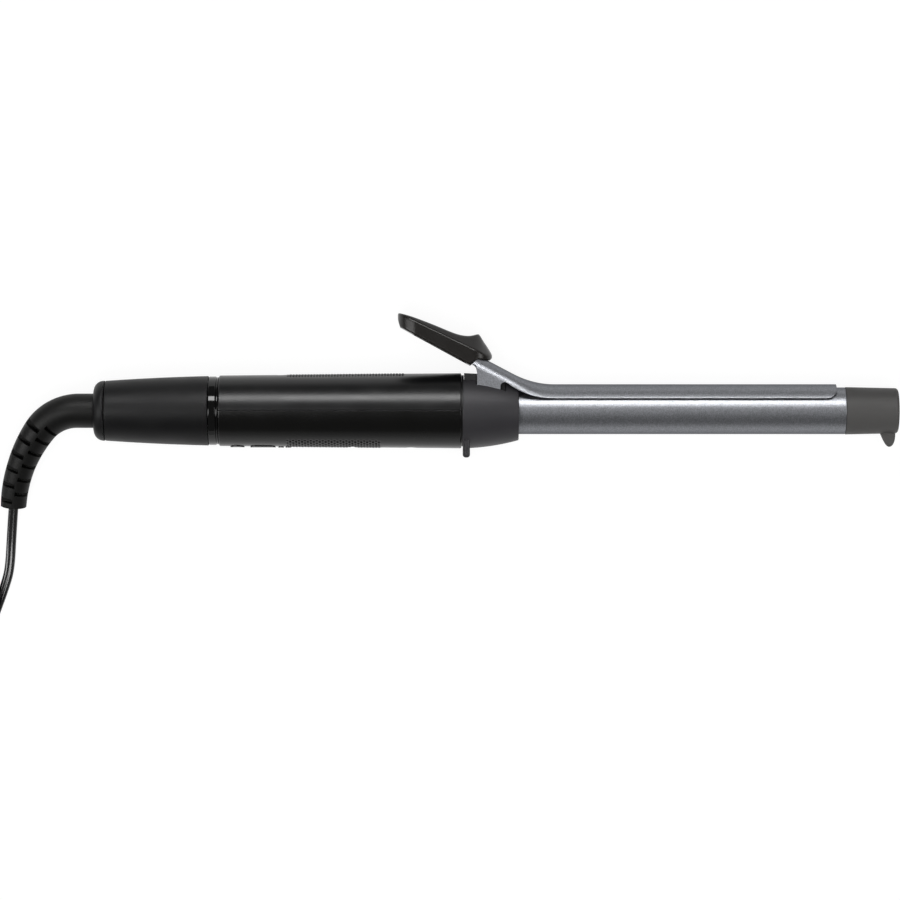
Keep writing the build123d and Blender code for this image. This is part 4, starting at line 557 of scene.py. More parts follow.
def taped(line, closed):
    """The tape's section carried along a line in the tie's plane, its thickness to the outer side."""
    heading = np.gradient(line, axis=0)
    if closed:
        heading[0] = heading[-1] = heading[0] + heading[-1]
    heading /= np.linalg.norm(heading, axis=1, keepdims=True)
    outer = np.stack([heading[:, 1], -heading[:, 0]], -1) if closed else np.broadcast_to([0.0, 1.0], line.shape)
    spot = line[:, None] + outer[:, None] * tape[:, 1:]
    middle = np.array([COIL_CENTRE[0], COIL_CENTRE[1], 0])
    return middle + spot[..., :1] * tie_out + tape[:, :1] * tie_along + spot[..., 1:] * (0, 0, 1.0)


print("tie: tape loop of", len(tie_loop), "points")

# %% Tie
tie = piece("woven_cord_tie", [taped(tie_loop, True), *capped(taped(tie_flap, False))], "cord_end",
            plastics["black_woven_tape"], ["cord_tie"])

# %% [markdown]
# ## Turned pieces
# Barrel, tip, trim ring, sleeve and cap are all round, so each is one profile carried round the axis. The
# corners of a profile get small arcs: real mouldings and tubes have no sharp edges, and the arcs catch the
# light as thin lines, which is what tells one piece from the next in the photograph.

# %% Stations along the axis
CAP_X, SLEEVE_X, RING_X, RING_END_X = -144.91, -140.31, -98.11, -94.91
HANDLE_X, HANDLE_END_X, COLLAR_X, COLLAR_END_X = -93.91, 4.59, 5.19, 27.99
BARREL_X, TIP_X, TIP_END_X = -12.0, 160.79, 182.29
PLAY = 0.05


def turned(profile, steps=192):
    """A profile of (station, radius) carried round the iron's axis."""
    theta = 2 * np.pi * np.linspace(0, 1, steps + 1)
    x, r = np.asarray(profile)[:, :1], np.asarray(profile)[:, 1:]
    return np.stack(np.broadcast_arrays(x, r * np.cos(theta), AXIS_Z + r * np.sin(theta)), -1)


print("iron:", round(TIP_END_X - CAP_X, 1), "mm from cap to tip")

# %% Barrel and ring
BARREL_R, BARREL_BORE, RING_R, GROOVE_R, SHELL_R = 9.5, 8.7, 14.0, 13.7, 12.25
barrel_corners = wall_corners(BARREL_X, TIP_X - PLAY, BARREL_R, BARREL_R, BARREL_BORE)
barrel_profile = rounded([*barrel_corners, barrel_corners[0]], [0.2, 0.25, 0])
piece("coated_barrel", [turned(barrel_profile, 256)], "iron", coat, ["barrel"])
ring_profile = rounded([(RING_X + PLAY, SHELL_R), (RING_X + PLAY, RING_R), (RING_END_X, RING_R),
                        (RING_END_X, GROOVE_R), (HANDLE_X - PLAY, GROOVE_R), (HANDLE_X - PLAY, SHELL_R),
                        (RING_X + PLAY, SHELL_R)], [0.45, 0.45, 0, 0, 0])
piece("gloss_trim_ring", [turned(ring_profile)], "iron", plastics["piano_black_ring"], ["trim_ring"])

# %% Sleeve and cap
SLEEVE_R, SLEEVE_SPREAD, SLEEVE_BORE, CAP_BORE, SEAM = 12.2, 1.95, 10.2, 7.2, 0.12
SLEEVE_LIP_R, CAP_WALL, CAP_SEAM = 12.1, 2.2, 0.1
share = np.linspace(0, 1, 30)
crown = np.stack([SLEEVE_X + SEAM + share * (RING_X - SLEEVE_X - 2 * SEAM),
                  SLEEVE_R + SLEEVE_SPREAD * share + share * (1 - share)], -1)
sleeve_rear = rounded([(SLEEVE_X + SEAM, SLEEVE_BORE), crown[0], crown[1]], [0.35])[:-2]
sleeve_front = rounded([crown[-2], crown[-1], (RING_X - SEAM, SLEEVE_LIP_R)], [0.3])[2:]
sleeve_profile = np.vstack([sleeve_rear, crown[1:-1], sleeve_front, [(RING_X - SEAM, SLEEVE_BORE)],
                            sleeve_rear[:1]])
piece("rear_sleeve_skin", [turned(sleeve_profile)], "iron", plastics["matt_black_abs"], ["rear_sleeve"])
cap_profile = rounded([(CAP_X + CAP_WALL, CAP_BORE), (CAP_X, CAP_BORE), (CAP_X, SLEEVE_R),
                       (SLEEVE_X - CAP_SEAM, SLEEVE_R), (SLEEVE_X - CAP_SEAM, SLEEVE_BORE),
                       (CAP_X + CAP_WALL, CAP_BORE)], [0.4, 3.9, 0.3, 0], steps=14, hold=0.1)
piece("rear_cap_skin", [turned(cap_profile)], "iron", plastics["matt_black_abs"], ["rear_cap"])

# %% [markdown]
# ## Cool tip
# The tip is the part that the other hand holds, so it is thick plastic on the end of the hot tube. Below it
# stands a small tooth that keeps the barrel off the table. The tooth is a rounded outline with a pillow
# section: loops that shrink towards both faces.

# %% Tip and tooth
TIP_R, TIP_END_R = 9.65, 9.2
FIN_X, FIN_LENGTH, FIN_BASE, FIN_RISE, FIN_HALF, APEX = 174.99, 6.3, -9.2, 5.5, 1.6, 0.61
FIN_ROOT, FIN_INSET, FIN_PILLOW, FIN_MIDDLE_Y = -6.0, 0.8, 0.16, -8.5
tip_profile = rounded(wall_corners(TIP_X, TIP_END_X, TIP_R, TIP_END_R), [0.35, 1.2], steps=10)
lap = (1 - np.cos(np.pi * np.linspace(0, 1, 61))) / 2
off = np.where(lap < APEX, 1 - lap / APEX, (lap - APEX) / (1 - APEX))
edge_x = FIN_X + FIN_LENGTH * lap
edge_y = FIN_BASE - FIN_RISE * (1 - off**2) ** np.where(lap < APEX, 1.2, 0.4)
tooth_edge = np.stack([np.r_[edge_x, FIN_X + FIN_LENGTH - FIN_INSET, FIN_X + FIN_INSET, FIN_X],
                       np.r_[edge_y, FIN_ROOT, FIN_ROOT, edge_y[0]]], -1)
middle = np.array([FIN_X + 0.55 * FIN_LENGTH, FIN_MIDDLE_Y])
bow = np.linspace(-1, 1, 25) * np.pi / 2
shrink = np.r_[0, 1 - FIN_PILLOW * (1 - np.cos(bow)), 0]
depth = np.r_[-1, np.sin(bow), 1] * FIN_HALF
tooth = middle + (tooth_edge - middle) * shrink[:, None, None]
tooth = np.concatenate([tooth, np.broadcast_to(AXIS_Z + depth[:, None, None], tooth.shape[:2] + (1,))], -1)
piece("cool_tip_skin", [turned(tip_profile), tooth], "iron", plastics["grained_grey_nylon"], ["cool_tip"])

# %% [markdown]
# ## Handle shells
# Two half shells meet along the middle of the side, where the photograph shows a thin line. Each half is a
# ring section with its outer corners rounded, so the seam is a small groove that is really there. Along the
# crest of each half the photograph's outline is rough: a grip panel, drawn as a field of fine domes. The
# lever's side also has a small round dimple.

# %% Shell profile
SHELL_REAR_R, SHELL_FRONT_R, ROUND_R = 14.35, 15.3, 15  # the last turns angles into lengths round the shell
SEAM_R, SEAM_GAP = 0.22, 0.02
GRIP_X, GRIP_END_X, GRIP_PITCH, GRIP_HEIGHT, GRIP_FADE = -66.5, (-18.0, -28.0), 2.4, 0.30, 0.8
GRIP_SINK, GRIP_STEP, FINE_X, FINE_COLUMNS, FINE_ANGLE = 0.2, 0.3, -71.5, 37, 0.74
DIMPLE_X, DIMPLE_R, DIMPLE_DEPTH, DIMPLE_SLOPE = -68.9, 1.75, 0.45, 0.3
ends = rounded(wall_corners(HANDLE_X, HANDLE_END_X, SHELL_REAR_R, SHELL_FRONT_R, SHELL_R), [0.6, 0.5], 9)
along = np.unique(np.r_[np.linspace(HANDLE_X + 1, HANDLE_END_X - 1, 30),
                        np.arange(FINE_X, GRIP_END_X[0] + 1, GRIP_STEP)])
straight = np.stack([along, np.interp(along, [HANDLE_X, HANDLE_END_X], [SHELL_REAR_R, SHELL_FRONT_R])], -1)
shell_profile = np.vstack([ends[:12], straight, ends[12:]])
print("shell profile:", len(shell_profile), "points")


# %% Grip and half shell
def grip(x, turn, half, end):
    """Domes as the product of a cosine along and one across, inside a panel that fades out at its border."""
    across = (turn - np.pi / 2) * ROUND_R
    border = np.clip((x - GRIP_X) / GRIP_FADE, 0, 1) * np.clip((end - x) / GRIP_FADE, 0, 1)
    border = border * np.clip((half - np.abs(across)) / GRIP_FADE, 0, 1)
    domes = np.cos(2 * np.pi * x / GRIP_PITCH) * np.cos(2 * np.pi * across / GRIP_PITCH)
    return GRIP_HEIGHT * border * (domes - GRIP_SINK)


def half_shell(side, panel, end, dimple):
    """Half ring carried along the profile; near the seam the radius drops as a small circle does."""
    arc = np.pi * (1 - np.cos(np.pi * np.linspace(0, 1, 101))) / 2
    ease = np.linspace(0, 1, 8)
    fine = np.pi / 2 + np.arange(-FINE_COLUMNS, FINE_COLUMNS + 1) * GRIP_STEP / ROUND_R
    turn = np.unique(np.r_[arc[np.abs(arc - np.pi / 2) > FINE_ANGLE], fine, ease * SEAM_R / ROUND_R,
                           np.pi - ease * SEAM_R / ROUND_R])
    run = np.minimum(turn, np.pi - turn) * ROUND_R
    drop = SEAM_R - np.sqrt(np.maximum(SEAM_R**2 - np.maximum(SEAM_R - run, 0) ** 2, 0))
    x, r = shell_profile[:, :1], shell_profile[:, 1:]
    spot = np.hypot(x - DIMPLE_X, (turn - np.pi / 2) * ROUND_R)
    sunk = dimple * np.clip((DIMPLE_R - spot) / DIMPLE_SLOPE, 0, 1)
    on_top = r > SHELL_R + 1
    outer_r = np.maximum(r - drop + on_top * (grip(x, turn, panel, end) - sunk), SHELL_R)
    r = np.hstack([outer_r, np.full_like(outer_r, SHELL_R), outer_r[:, :1]])
    turn = np.r_[turn, turn[::-1], turn[0]]
    x = np.broadcast_to(x, r.shape)
    return np.stack([x, side * (SEAM_GAP + r * np.sin(turn)), AXIS_Z + r * np.cos(turn)], -1)


# %% Two shells
PANEL_HALF = (6.0, 9.8)
piece("lever_side_shell_skin", [half_shell(1, PANEL_HALF[0], GRIP_END_X[0], DIMPLE_DEPTH)], "iron",
      plastics["satin_black_abs"], ["lever_side_shell"])
lower = piece("underside_shell_skin", [half_shell(-1, PANEL_HALF[1], GRIP_END_X[1], 0)], "iron",
              plastics["gloss_black_abs"], ["underside_shell"])

# %% [markdown]
# The underside has openings for the key, the rocker, the two lenses and the two screws. They are cut with one
# Boolean, whose result is kept as the shell's mesh. Each screw stands at the bottom of a moulded well.

# %% Openings in the underside
KEY_X, ROCKER_X, LENS_X, SCREW_X = HANDLE_X + 7.4, HANDLE_X + 17.8, HANDLE_X + 26.6, (-39.91, -15.91)
KEY_HOLE_R, LENS_HOLE_R, LENS_APART, WELL_HOLE_R = 3.2, 1.15, 1.45, 2.25
ROCKER_HALF_X, ROCKER_HALF_Z, ROCKER_CORNER = 5.4, 3.3, 2.3
CUT_LOW, CUT_HIGH = -18.0, -9.0
angle = np.linspace(0, 2 * np.pi, 65)
disc = np.stack([np.cos(angle), np.sin(angle)], -1)
rocker_hole = rounded_box(-ROCKER_HALF_X, ROCKER_HALF_X, -ROCKER_HALF_Z, ROCKER_HALF_Z, ROCKER_CORNER, 12)
OPENINGS = [(KEY_X, disc * KEY_HOLE_R), (ROCKER_X, rocker_hole), (LENS_X - LENS_APART, disc * LENS_HOLE_R),
            (LENS_X + LENS_APART, disc * LENS_HOLE_R), *((x, disc * WELL_HOLE_R) for x in SCREW_X)]


def plunged(x, outline):
    """An outline in the (X, Z) plane carried down through the wall, closed at both ends."""
    rim = np.stack([x + outline[:, 0], np.zeros(len(outline)), AXIS_Z + outline[:, 1]], -1)
    hub = np.broadcast_to([x, 0, AXIS_Z], rim.shape)
    low, high = np.array([0, CUT_LOW, 0]), np.array([0, CUT_HIGH, 0])
    return np.stack([hub + high, rim + high, rim + low, hub + low])


print("openings:", len(OPENINGS))

# %% Cut the openings
tool = placed("openings", surface("openings", [plunged(x, outline) for x, outline in OPENINGS]))
holes = lower.modifiers.new("openings", "BOOLEAN")
holes.object, holes.operation, holes.solver = tool, "DIFFERENCE", "MANIFOLD"
bpy.context.view_layer.update()
whole = lower.data
lower.data = bpy.data.meshes.new_from_object(lower.evaluated_get(bpy.context.evaluated_depsgraph_get()))
lower.modifiers.clear()
bpy.data.objects.remove(tool)
bpy.data.meshes.remove(whole)
lower.data.set_sharp_from_angle(angle=np.radians(50))
print("underside with openings:", len(lower.data.polygons), "faces")

# %% Screw wells
WELL_LINE = [(-14.2, 2.26), (-7.02, 2.26), (-7.02, 1.1), (-6.2, 1.1), (-6.2, 3.5), (-12.6, 3.5), (-14.2, 2.26)]
wells = piece("screw_wells", [spun(WELL_LINE, x, AXIS_Z) for x in SCREW_X], "iron", plastics["gloss_black_abs"],
              [])
wells.data.set_sharp_from_angle(angle=np.radians(40))

# %% [markdown]
# ## Collar
# A convex cone with a window on the lever's side, in which the hinge shows. The wall is a sheet of
# (station, angle) points in patches that share their edges: below the window, beside its narrow rear part
# and the ring in front. Solidify gives the wall, Bevel rounds every edge.

# %% Collar wall
COLLAR_R, COLLAR_DROP, COLLAR_CROWN, COLLAR_WALL = 15.3, 3.35, 0.75, 1.9
EAR_X, WINDOW_END_X, WINDOW_PLAY = 11.04, 22.64, 0.3
WIDE, NARROW = 10.6, 8.45


def collar_radius(x):
    """Straight cone plus a parabola for the crown."""
    share = (x - COLLAR_X) / (COLLAR_END_X - COLLAR_X)
    return COLLAR_R - COLLAR_DROP * share + 4 * COLLAR_CROWN * share * (1 - share)


def window_edge(x, half):
    """Angle from straight below up to where a window of this half width begins."""
    return np.pi - np.arcsin(half / collar_radius(x))


def patch(x, low, high, count):
    """Cone points at each station, at angles spread evenly between two that are counted from straight below."""
    angle = low[:, None] + (high - low)[:, None] * np.linspace(0, 1, count)
    r = collar_radius(x)[:, None]
    return np.stack(np.broadcast_arrays(x[:, None], -r * np.cos(angle), AXIS_Z + r * np.sin(angle)), -1)


def sheet_wall(made, thickness):
    """Solidify: the sheet gets its thickness on the inner side."""
    wall = made.modifiers.new("wall", "SOLIDIFY")
    wall.thickness, wall.offset = thickness * MM, -1


def soft_edges(made, width, segments, limit):
    """Bevel: every edge that turns by more than the limit, in degrees, is rounded."""
    soft = made.modifiers.new("edges", "BEVEL")
    soft.width, soft.segments = width * MM, segments
    soft.limit_method, soft.angle_limit = "ANGLE", np.radians(limit)


print("collar radius:", COLLAR_R, "to", round(collar_radius(COLLAR_END_X), 2), "mm")

# %% Collar
beside_x = np.linspace(COLLAR_X, EAR_X - WINDOW_PLAY, 14)
front_x = np.linspace(WINDOW_END_X, COLLAR_END_X - 0.02, 14)
all_x = np.unique(np.r_[beside_x, np.linspace(EAR_X - WINDOW_PLAY, WINDOW_END_X, 26), front_x])
wall = [patch(all_x, -window_edge(all_x, WIDE), window_edge(all_x, WIDE), 161)]
for side in (1, -1):
    wall.append(patch(beside_x, side * window_edge(beside_x, WIDE), side * window_edge(beside_x, NARROW), 9))
    wall.append(patch(front_x, side * window_edge(front_x, WIDE), side * np.full(14, np.pi), 31))
collar = piece("front_collar", wall, "iron", plastics["grained_dark_nylon"], ["collar"])
sheet_wall(collar, COLLAR_WALL)
soft_edges(collar, 0.3, 3, 40)

# %% [markdown]
# Two feet stand below the collar, so that the hot barrel is held off the table: ribbed bars with rounded ends.
# A shoulder behind the collar is the floor of the groove between collar and handle. It is really the collar's
# grey nylon, and is coloured black as painted shade for the groove.

# %% Feet
FOOT_X, FOOT_HALF_X, FOOT_HALF_Z, FOOT_OUT, FOOT_END, FOOT_ROUND = COLLAR_X + 1.45, 1.45, 1.7, 7.9, -19.05, 1.2
FOOT_CORNER, FOOT_RIB, FOOT_RIB_PITCH, FOOT_RIB_BAND, FOOT_RIB_SINK = 0.6, 0.16, 1.0, 0.3, 0.1


def evenly(loop, count):
    """A loop's points spread evenly along its length."""
    step = np.r_[0, np.cumsum(np.linalg.norm(np.diff(loop, axis=0), axis=1))]
    even = np.linspace(0, step[-1], count)
    return np.stack([np.interp(even, step, loop[:, 0]), np.interp(even, step, loop[:, 1])], -1)


foot = evenly(rounded_box(-FOOT_HALF_X, FOOT_HALF_X, -FOOT_HALF_Z, FOOT_HALF_Z, FOOT_CORNER), 129)
on_side = np.abs(foot[:, 1]) > FOOT_HALF_Z - FOOT_RIB_BAND
rib = FOOT_RIB * np.cos(2 * np.pi * foot[:, 0] / FOOT_RIB_PITCH) * on_side
foot[:, 1] += np.sign(foot[:, 1]) * (rib - FOOT_RIB_SINK)
climb = np.r_[0, FOOT_ROUND * (1 - np.cos(np.linspace(0, np.pi / 2, 10))), 4.0, 7.0, 10.0, 10.0]
shrink = 1 - FOOT_ROUND / FOOT_HALF_X * (1 - np.sqrt(1 - np.clip(1 - climb / FOOT_ROUND, 0, 1) ** 2))
shrink[[0, -1]] = 0
spread = foot * shrink[:, None, None]
height = np.broadcast_to(FOOT_END + climb[:, None], spread.shape[:2])
feet = [np.stack([FOOT_X + spread[..., 0], height, AXIS_Z + side * FOOT_OUT + spread[..., 1]], -1)
        for side in (1, -1)]
piece("collar_feet", feet, "iron", plastics["grained_dark_nylon"], [])

# %% Shoulder
SHOULDER_R, SHOULDER_BORE, SHOULDER_IN = 14.5, 12.2, 0.4
shoulder_line = wall_corners(HANDLE_END_X + PLAY, COLLAR_X + SHOULDER_IN, SHOULDER_R, SHOULDER_R, SHOULDER_BORE)
# Painted shade: the shoulder takes the black moulding, not the collar's grey, to stand for the shadow in the
# groove.
shoulder = piece("collar_shoulder_painted_shade", [turned([*shoulder_line, shoulder_line[0]])], "iron",
                 plastics["inner_black_moulding_and_painted_shade"], [])
shoulder.data.set_sharp_from_angle(angle=np.radians(40))

# %% [markdown]
# ## Formed clip
# One sheet of steel: it hugs the barrel, bends up a ramp and folds down into two ears beside the hinge.
# Every section is an arch with a flat top, two round corners and two legs. Along the ramp the corners are
# tight, along the barrel they open until the arch is a circle. Rows of points run from the top centre down
# to the lower edge, and two guide lines keep the rows even where the edge steps at the ear.

# %% Clip: lines along the sheet
CLIP_R, RAMP, RAMP_X, BEND_R, RAMP_CORNER = 10.3, np.radians(27.8), 33.39, 37.0, 5.5
SADDLE_X, LIP_X, EAR_END_X, NOTCH_X, CLIP_END_X = 9.09, 11.34, 20.34, 22.34, 156.99
EDGE_Y, EDGE_ANGLE, EDGE_X, EDGE_R = 4.836, np.radians(33.0), 32.69, 30.0
EAR_BOTTOM, EAR_SLANT, NOTCH_Y, NOTCH_R, END_R, TOP_FLAT = 9.13, 1.6, 11.56, 2.0, 4.0, 0.1
BEND_REACH = BEND_R * np.tan(RAMP / 2)
BEND_X = RAMP_X - BEND_REACH * np.cos(RAMP)
BEND_END = RAMP_X + BEND_REACH


def clip_top(x):
    """Ramp line, then a circular bend, then level on the barrel."""
    ramp = CLIP_R + (RAMP_X - x) * np.tan(RAMP)
    sine = np.clip((BEND_END - x) / BEND_R, 0, np.sin(RAMP))
    bend = CLIP_R + BEND_R * (1 - np.sqrt(1 - sine**2))
    return np.where(x < BEND_X, ramp, bend)


def clip_corner(x):
    """Corner radius: tight on the ramp, eased to the barrel's own curve over the bend."""
    sine = np.clip((BEND_END - x) / BEND_R, 0, np.sin(RAMP))
    share = 1 - np.arcsin(sine) / RAMP
    return RAMP_CORNER + (CLIP_R - TOP_FLAT - RAMP_CORNER) * share * share * (3 - 2 * share)


def clip_edge(x):
    """Lower edge in the side view: ear, notch, slanting edge, bend, barrel edge, rounded end."""
    ear = EAR_BOTTOM - EAR_SLANT * (x - EAR_X) / (EAR_END_X - EAR_X)
    notch = NOTCH_Y - NOTCH_R + np.sqrt(np.maximum(NOTCH_R**2 - np.maximum(NOTCH_X - x, 0) ** 2, 0))
    bend_end = EDGE_X + EDGE_R * np.tan(EDGE_ANGLE / 2)
    sine = np.clip((bend_end - x) / EDGE_R, 0, np.sin(EDGE_ANGLE))
    bend = EDGE_Y + EDGE_R * (1 - np.sqrt(1 - sine**2))
    bend_x = bend_end - EDGE_R * np.sin(EDGE_ANGLE)
    slope = EDGE_Y + EDGE_R * (1 - np.cos(EDGE_ANGLE)) + (bend_x - x) * np.tan(EDGE_ANGLE)
    run = np.where(x < bend_x, slope, bend)
    end = EDGE_Y + END_R - np.sqrt(np.maximum(END_R**2 - np.maximum(x - CLIP_END_X + END_R, 0) ** 2, 0))
    return np.where(x <= EAR_END_X, ear, np.where(x < NOTCH_X, np.minimum(notch, run), np.maximum(run, end)))


print("clip bends from", round(BEND_X, 1), "to", round(BEND_END, 1), "mm along the axis")


# %% Clip: points on the arches
def down_to(x, y):
    """Length along the arch from its top centre down to a height."""
    top, corner = clip_top(x), clip_corner(x)
    bow = np.arccos(np.clip((y - top + corner) / corner, 0, 1))
    return CLIP_R - corner + corner * bow + np.maximum(top - corner - y, 0)


def sheet(x, rows, side):
    """Points on the arches at these stations, at these lengths down from the top centre."""
    top, corner = clip_top(x)[:, None], clip_corner(x)[:, None]
    flat = CLIP_R - corner
    bow = np.clip((rows - flat) / corner, 0, np.pi / 2)
    wide = np.minimum(rows, flat) + corner * np.sin(bow)
    y = top - corner * (1 - np.cos(bow)) - np.maximum(rows - flat - corner * np.pi / 2, 0)
    return np.stack(np.broadcast_arrays(x[:, None], y, AXIS_Z + side * wide), -1)


def between(low, high, count):
    """Rows spread evenly between two lengths at each station."""
    return low[:, None] + (high - low)[:, None] * np.linspace(0, 1, count)


print("from the clip's top to its edge on the barrel:", round(float(down_to(100.0, EDGE_Y)), 1), "mm of sheet")

# %% Clip: guide lines
GUIDE_DROP, TAB_Y, TAB_RISE, SADDLE_Y, LIP_Y, CLIP_SHEET = 1.2, 15.6, 3.21, 18.81, 20.73, 0.5
GUIDE = np.array([(EAR_X, TAB_Y), (22.34, 13.2), (25.0, 11.6), (32.7, 7.7), (41.6, 5.8), (152.0, 5.8),
                  (155.5, 7.3), (CLIP_END_X, 9.0)])


def upper_guide(x):
    """Just below the top, all along."""
    return down_to(x, clip_top(x) - GUIDE_DROP)


def lower_guide(x):
    """Above the lower edge: straight from each guide point to the next."""
    return down_to(x, np.interp(x, GUIDE[:, 0], GUIDE[:, 1]))


def saddle_line(x):
    """Straight line up from the saddle's rear end to the lip."""
    return down_to(x, SADDLE_Y + (x - SADDLE_X) * (LIP_Y - SADDLE_Y) / (LIP_X - SADDLE_X))


def tab_line(x):
    """Quarter of an ellipse from the saddle's rear end down to the ear."""
    return down_to(x, TAB_Y + TAB_RISE * np.sqrt(np.maximum(1 - ((x - SADDLE_X) / (EAR_X - SADDLE_X)) ** 2, 0)))


print("guide points:", len(GUIDE))

# %% Clip: patches of the sheet
STEP_X, EVEN_X, TURN_X = EAR_END_X + 0.12, 46, 152
long_x = np.unique(np.r_[np.linspace(LIP_X, EAR_END_X, 24), STEP_X, np.linspace(STEP_X, NOTCH_X, 12),
                         np.linspace(NOTCH_X, EVEN_X, 50), np.linspace(EVEN_X, TURN_X, 54),
                         np.linspace(TURN_X, CLIP_END_X, 26)])
lip_x = np.linspace(EAR_X, LIP_X, 4)
tab_x = np.linspace(SADDLE_X, EAR_X, 12)
clip_sheet = []
for side in (1, -1):
    clip_sheet.append(sheet(long_x, np.hstack([
        between(np.zeros_like(long_x), upper_guide(long_x), 13)[:, :-1],
        between(upper_guide(long_x), lower_guide(long_x), 17)[:, :-1],
        between(lower_guide(long_x), down_to(long_x, clip_edge(long_x)), 11)]), side))
    clip_sheet.append(sheet(lip_x, np.hstack([
        between(saddle_line(lip_x), lower_guide(lip_x), 17)[:, :-1],
        between(lower_guide(lip_x), down_to(lip_x, clip_edge(lip_x)), 11)]), side))
    clip_sheet.append(sheet(tab_x, between(saddle_line(tab_x), tab_line(tab_x), 17), side))
clip = piece("formed_clip", clip_sheet, "clip_arm", coat, ["clip"])
sheet_wall(clip, CLIP_SHEET)
soft_edges(clip, 0.16, 3, 50)

# %% [markdown]
# ## Clip spring
# A torsion spring sits on the hinge pin behind the collar's window. One leg bears on the block and stays
# with the iron, the other bears on the bracket and goes with the clip, and the coils between them wind up as
# the clip opens. A stiff spring would cut into the bracket. The wire is a round section carried along a
# helix with two straight legs, and it rides on neither body.

# %% Clip spring
PIN_X, PIN_Y, SPRING_R, WIRE_R, SPRING_PITCH, SPRING_TURNS = 13.39, 12.6, 1.85, 0.4, 1.3, 4.25
LEG, LEG_GAP = 2.5, 0.2
turn = np.linspace(0, SPRING_TURNS, 205)
angle = -np.pi / 2 - 2 * np.pi * turn
coil = np.stack([PIN_X + SPRING_R * np.cos(angle), PIN_Y + SPRING_R * np.sin(angle),
                 AXIS_Z + SPRING_PITCH * (turn - SPRING_TURNS / 2)], -1)
leg_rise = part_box("clip_spring")[1][1] / MM - PIN_Y
block_leg = coil[0] + np.linspace(LEG, LEG_GAP, 6)[:, None] * (1, 0, 0)
bracket_leg = coil[-1] + np.linspace(LEG_GAP, leg_rise, 10)[:, None] * (0, 1, 0)
spring_line = np.vstack([block_leg, coil, bracket_leg])
wire_section = WIRE_R * np.exp(1j * np.linspace(0, 2 * np.pi, 17))
spring = piece("wound_spring", capped(carried(spring_line, wire_section), spring_line), None,
               metals["zinc_plated_steel"], ["clip_spring"])
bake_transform(spring)

# %% [markdown]
# ## Thumb lever
# A hollow paddle with a raised stop for the thumb. Seen from above it is a rounded rectangle; a straight
# crease runs along each side, and above it the top slants inwards until it meets the thumb rest. So the top
# is a height field over the inset from the plan's edge, the lower of slant and rest, blended where they meet.
# The surface is one loop round the plan: up the wall to that field, in over it, and back underneath.

# %% Lever: plan and heights
TAIL_X, NOSE_X, LEVER_HALF, PLAN_R = -21.2, 17.1, 9.5, 7.5
BLEND, CREASE_R, NOSE_RIM, TAIL_RIM, RIM_SLOPE = 0.3, 0.5, 22.8, 39.65, 0.4807
REST = np.array([(-22.5, 40.1, 0), (-18.5, 39.35, 0), (-7.0, 35.1, 0), (0.2, 32.0, 0), (4.4, 30.6, 0),
                 (8.2, 30.3, 0), (11.5, 31.3, 0), (14.0, 31.6, 0), (17.6, 31.8, 0)])
UNDER = np.array([(-21.2, 36.9), (-20.75, 35.3), (-20.3, 33.95), (-19.5, 33.5), (8.2, 18.4), (11.1, 20.7),
                  (16.1, 20.5), (17.1, 21.2)])
plan = evenly(rounded_box(TAIL_X, NOSE_X, -LEVER_HALF, LEVER_HALF, PLAN_R, steps=40, hold=0.02), 441)
spine = np.stack([np.clip(plan[:, 0], TAIL_X + PLAN_R, NOSE_X - PLAN_R), np.zeros(len(plan))], -1)
ahead = np.abs(plan - spine)[:, 0] / np.linalg.norm(plan - spine, axis=1)
rest_line = smooth_line(REST, "thumb_rest")


def lever_under(x):
    """Height of the lower edge: straight from each point to the next."""
    return np.interp(x, UNDER[:, 0], UNDER[:, 1])


def lever_top(x, inset):
    """Soft minimum of slant and rest; the slant is 45 degrees at the sides and steeper, and bowed, ahead."""
    rim = TAIL_RIM - RIM_SLOPE * (x - TAIL_X)
    rim = rim + ahead**2 * np.maximum(NOSE_RIM - rim, 0)
    slant = rim + inset * (1 + 0.8 * ahead**2) - 0.077 * (ahead * inset) ** 2
    crease = CREASE_R - np.sqrt(np.maximum(CREASE_R**2 - np.maximum(CREASE_R - inset, 0) ** 2, 0))
    rest = np.interp(x, rest_line[:, 0], rest_line[:, 1])
    return -BLEND * np.logaddexp(-slant / BLEND, -rest / BLEND) - crease


def lever_row(inset, height):
    """The plan loop moved in towards the spine by an inset, at the height that its place asks for."""
    way = spine - plan
    reach = np.linalg.norm(way, axis=1)
    inset = np.minimum(inset, reach)
    flat = plan + way * (inset / reach)[:, None]
    return np.stack([flat[:, 0], height(flat[:, 0], inset), AXIS_Z + flat[:, 1]], -1)


print("lever:", round(NOSE_X - TAIL_X, 1), "by", 2 * LEVER_HALF, "mm")

# %% Lever: rows up the wall, over the top and back underneath
EDGE, LEVER_WALL, LEVER_ROOF = 0.35, 1.8, 2.6
HOLLOW_X, HOLLOW_END_X, HOLLOW_SLOPE, HOLLOW_REAR, HOLLOW_FRONT = TAIL_X + 6.5, 6.5, 0.5, 1.0, 0.6
crease_rows = CREASE_R * (1 - np.cos(np.linspace(0, np.pi / 2, 8)))
rows = []
for share in np.linspace(0, 1, 7):
    rows.append(lever_row(0, lambda x, e: lever_under(x) + EDGE
                          + share * (lever_top(x, e) - EDGE - lever_under(x))))
for inset in np.r_[crease_rows[1:], np.linspace(0.8, LEVER_HALF, 26)]:
    rows.append(lever_row(inset, lever_top))


def underneath(inset):
    """Height function of a row below: the lower edge with its rounding, then the hollow up to the roof."""
    hollow = np.clip((inset - LEVER_WALL) / HOLLOW_SLOPE, 0, 1)
    bottom = max(0, EDGE - inset)
    return lambda x, e: (lever_under(x) + bottom
                         + hollow * np.maximum(lever_top(x, e) - LEVER_ROOF - lever_under(x), 0)
                         * np.clip((x - HOLLOW_X) / HOLLOW_REAR, 0, 1)
                         * np.clip((HOLLOW_END_X - x) / HOLLOW_FRONT, 0, 1))


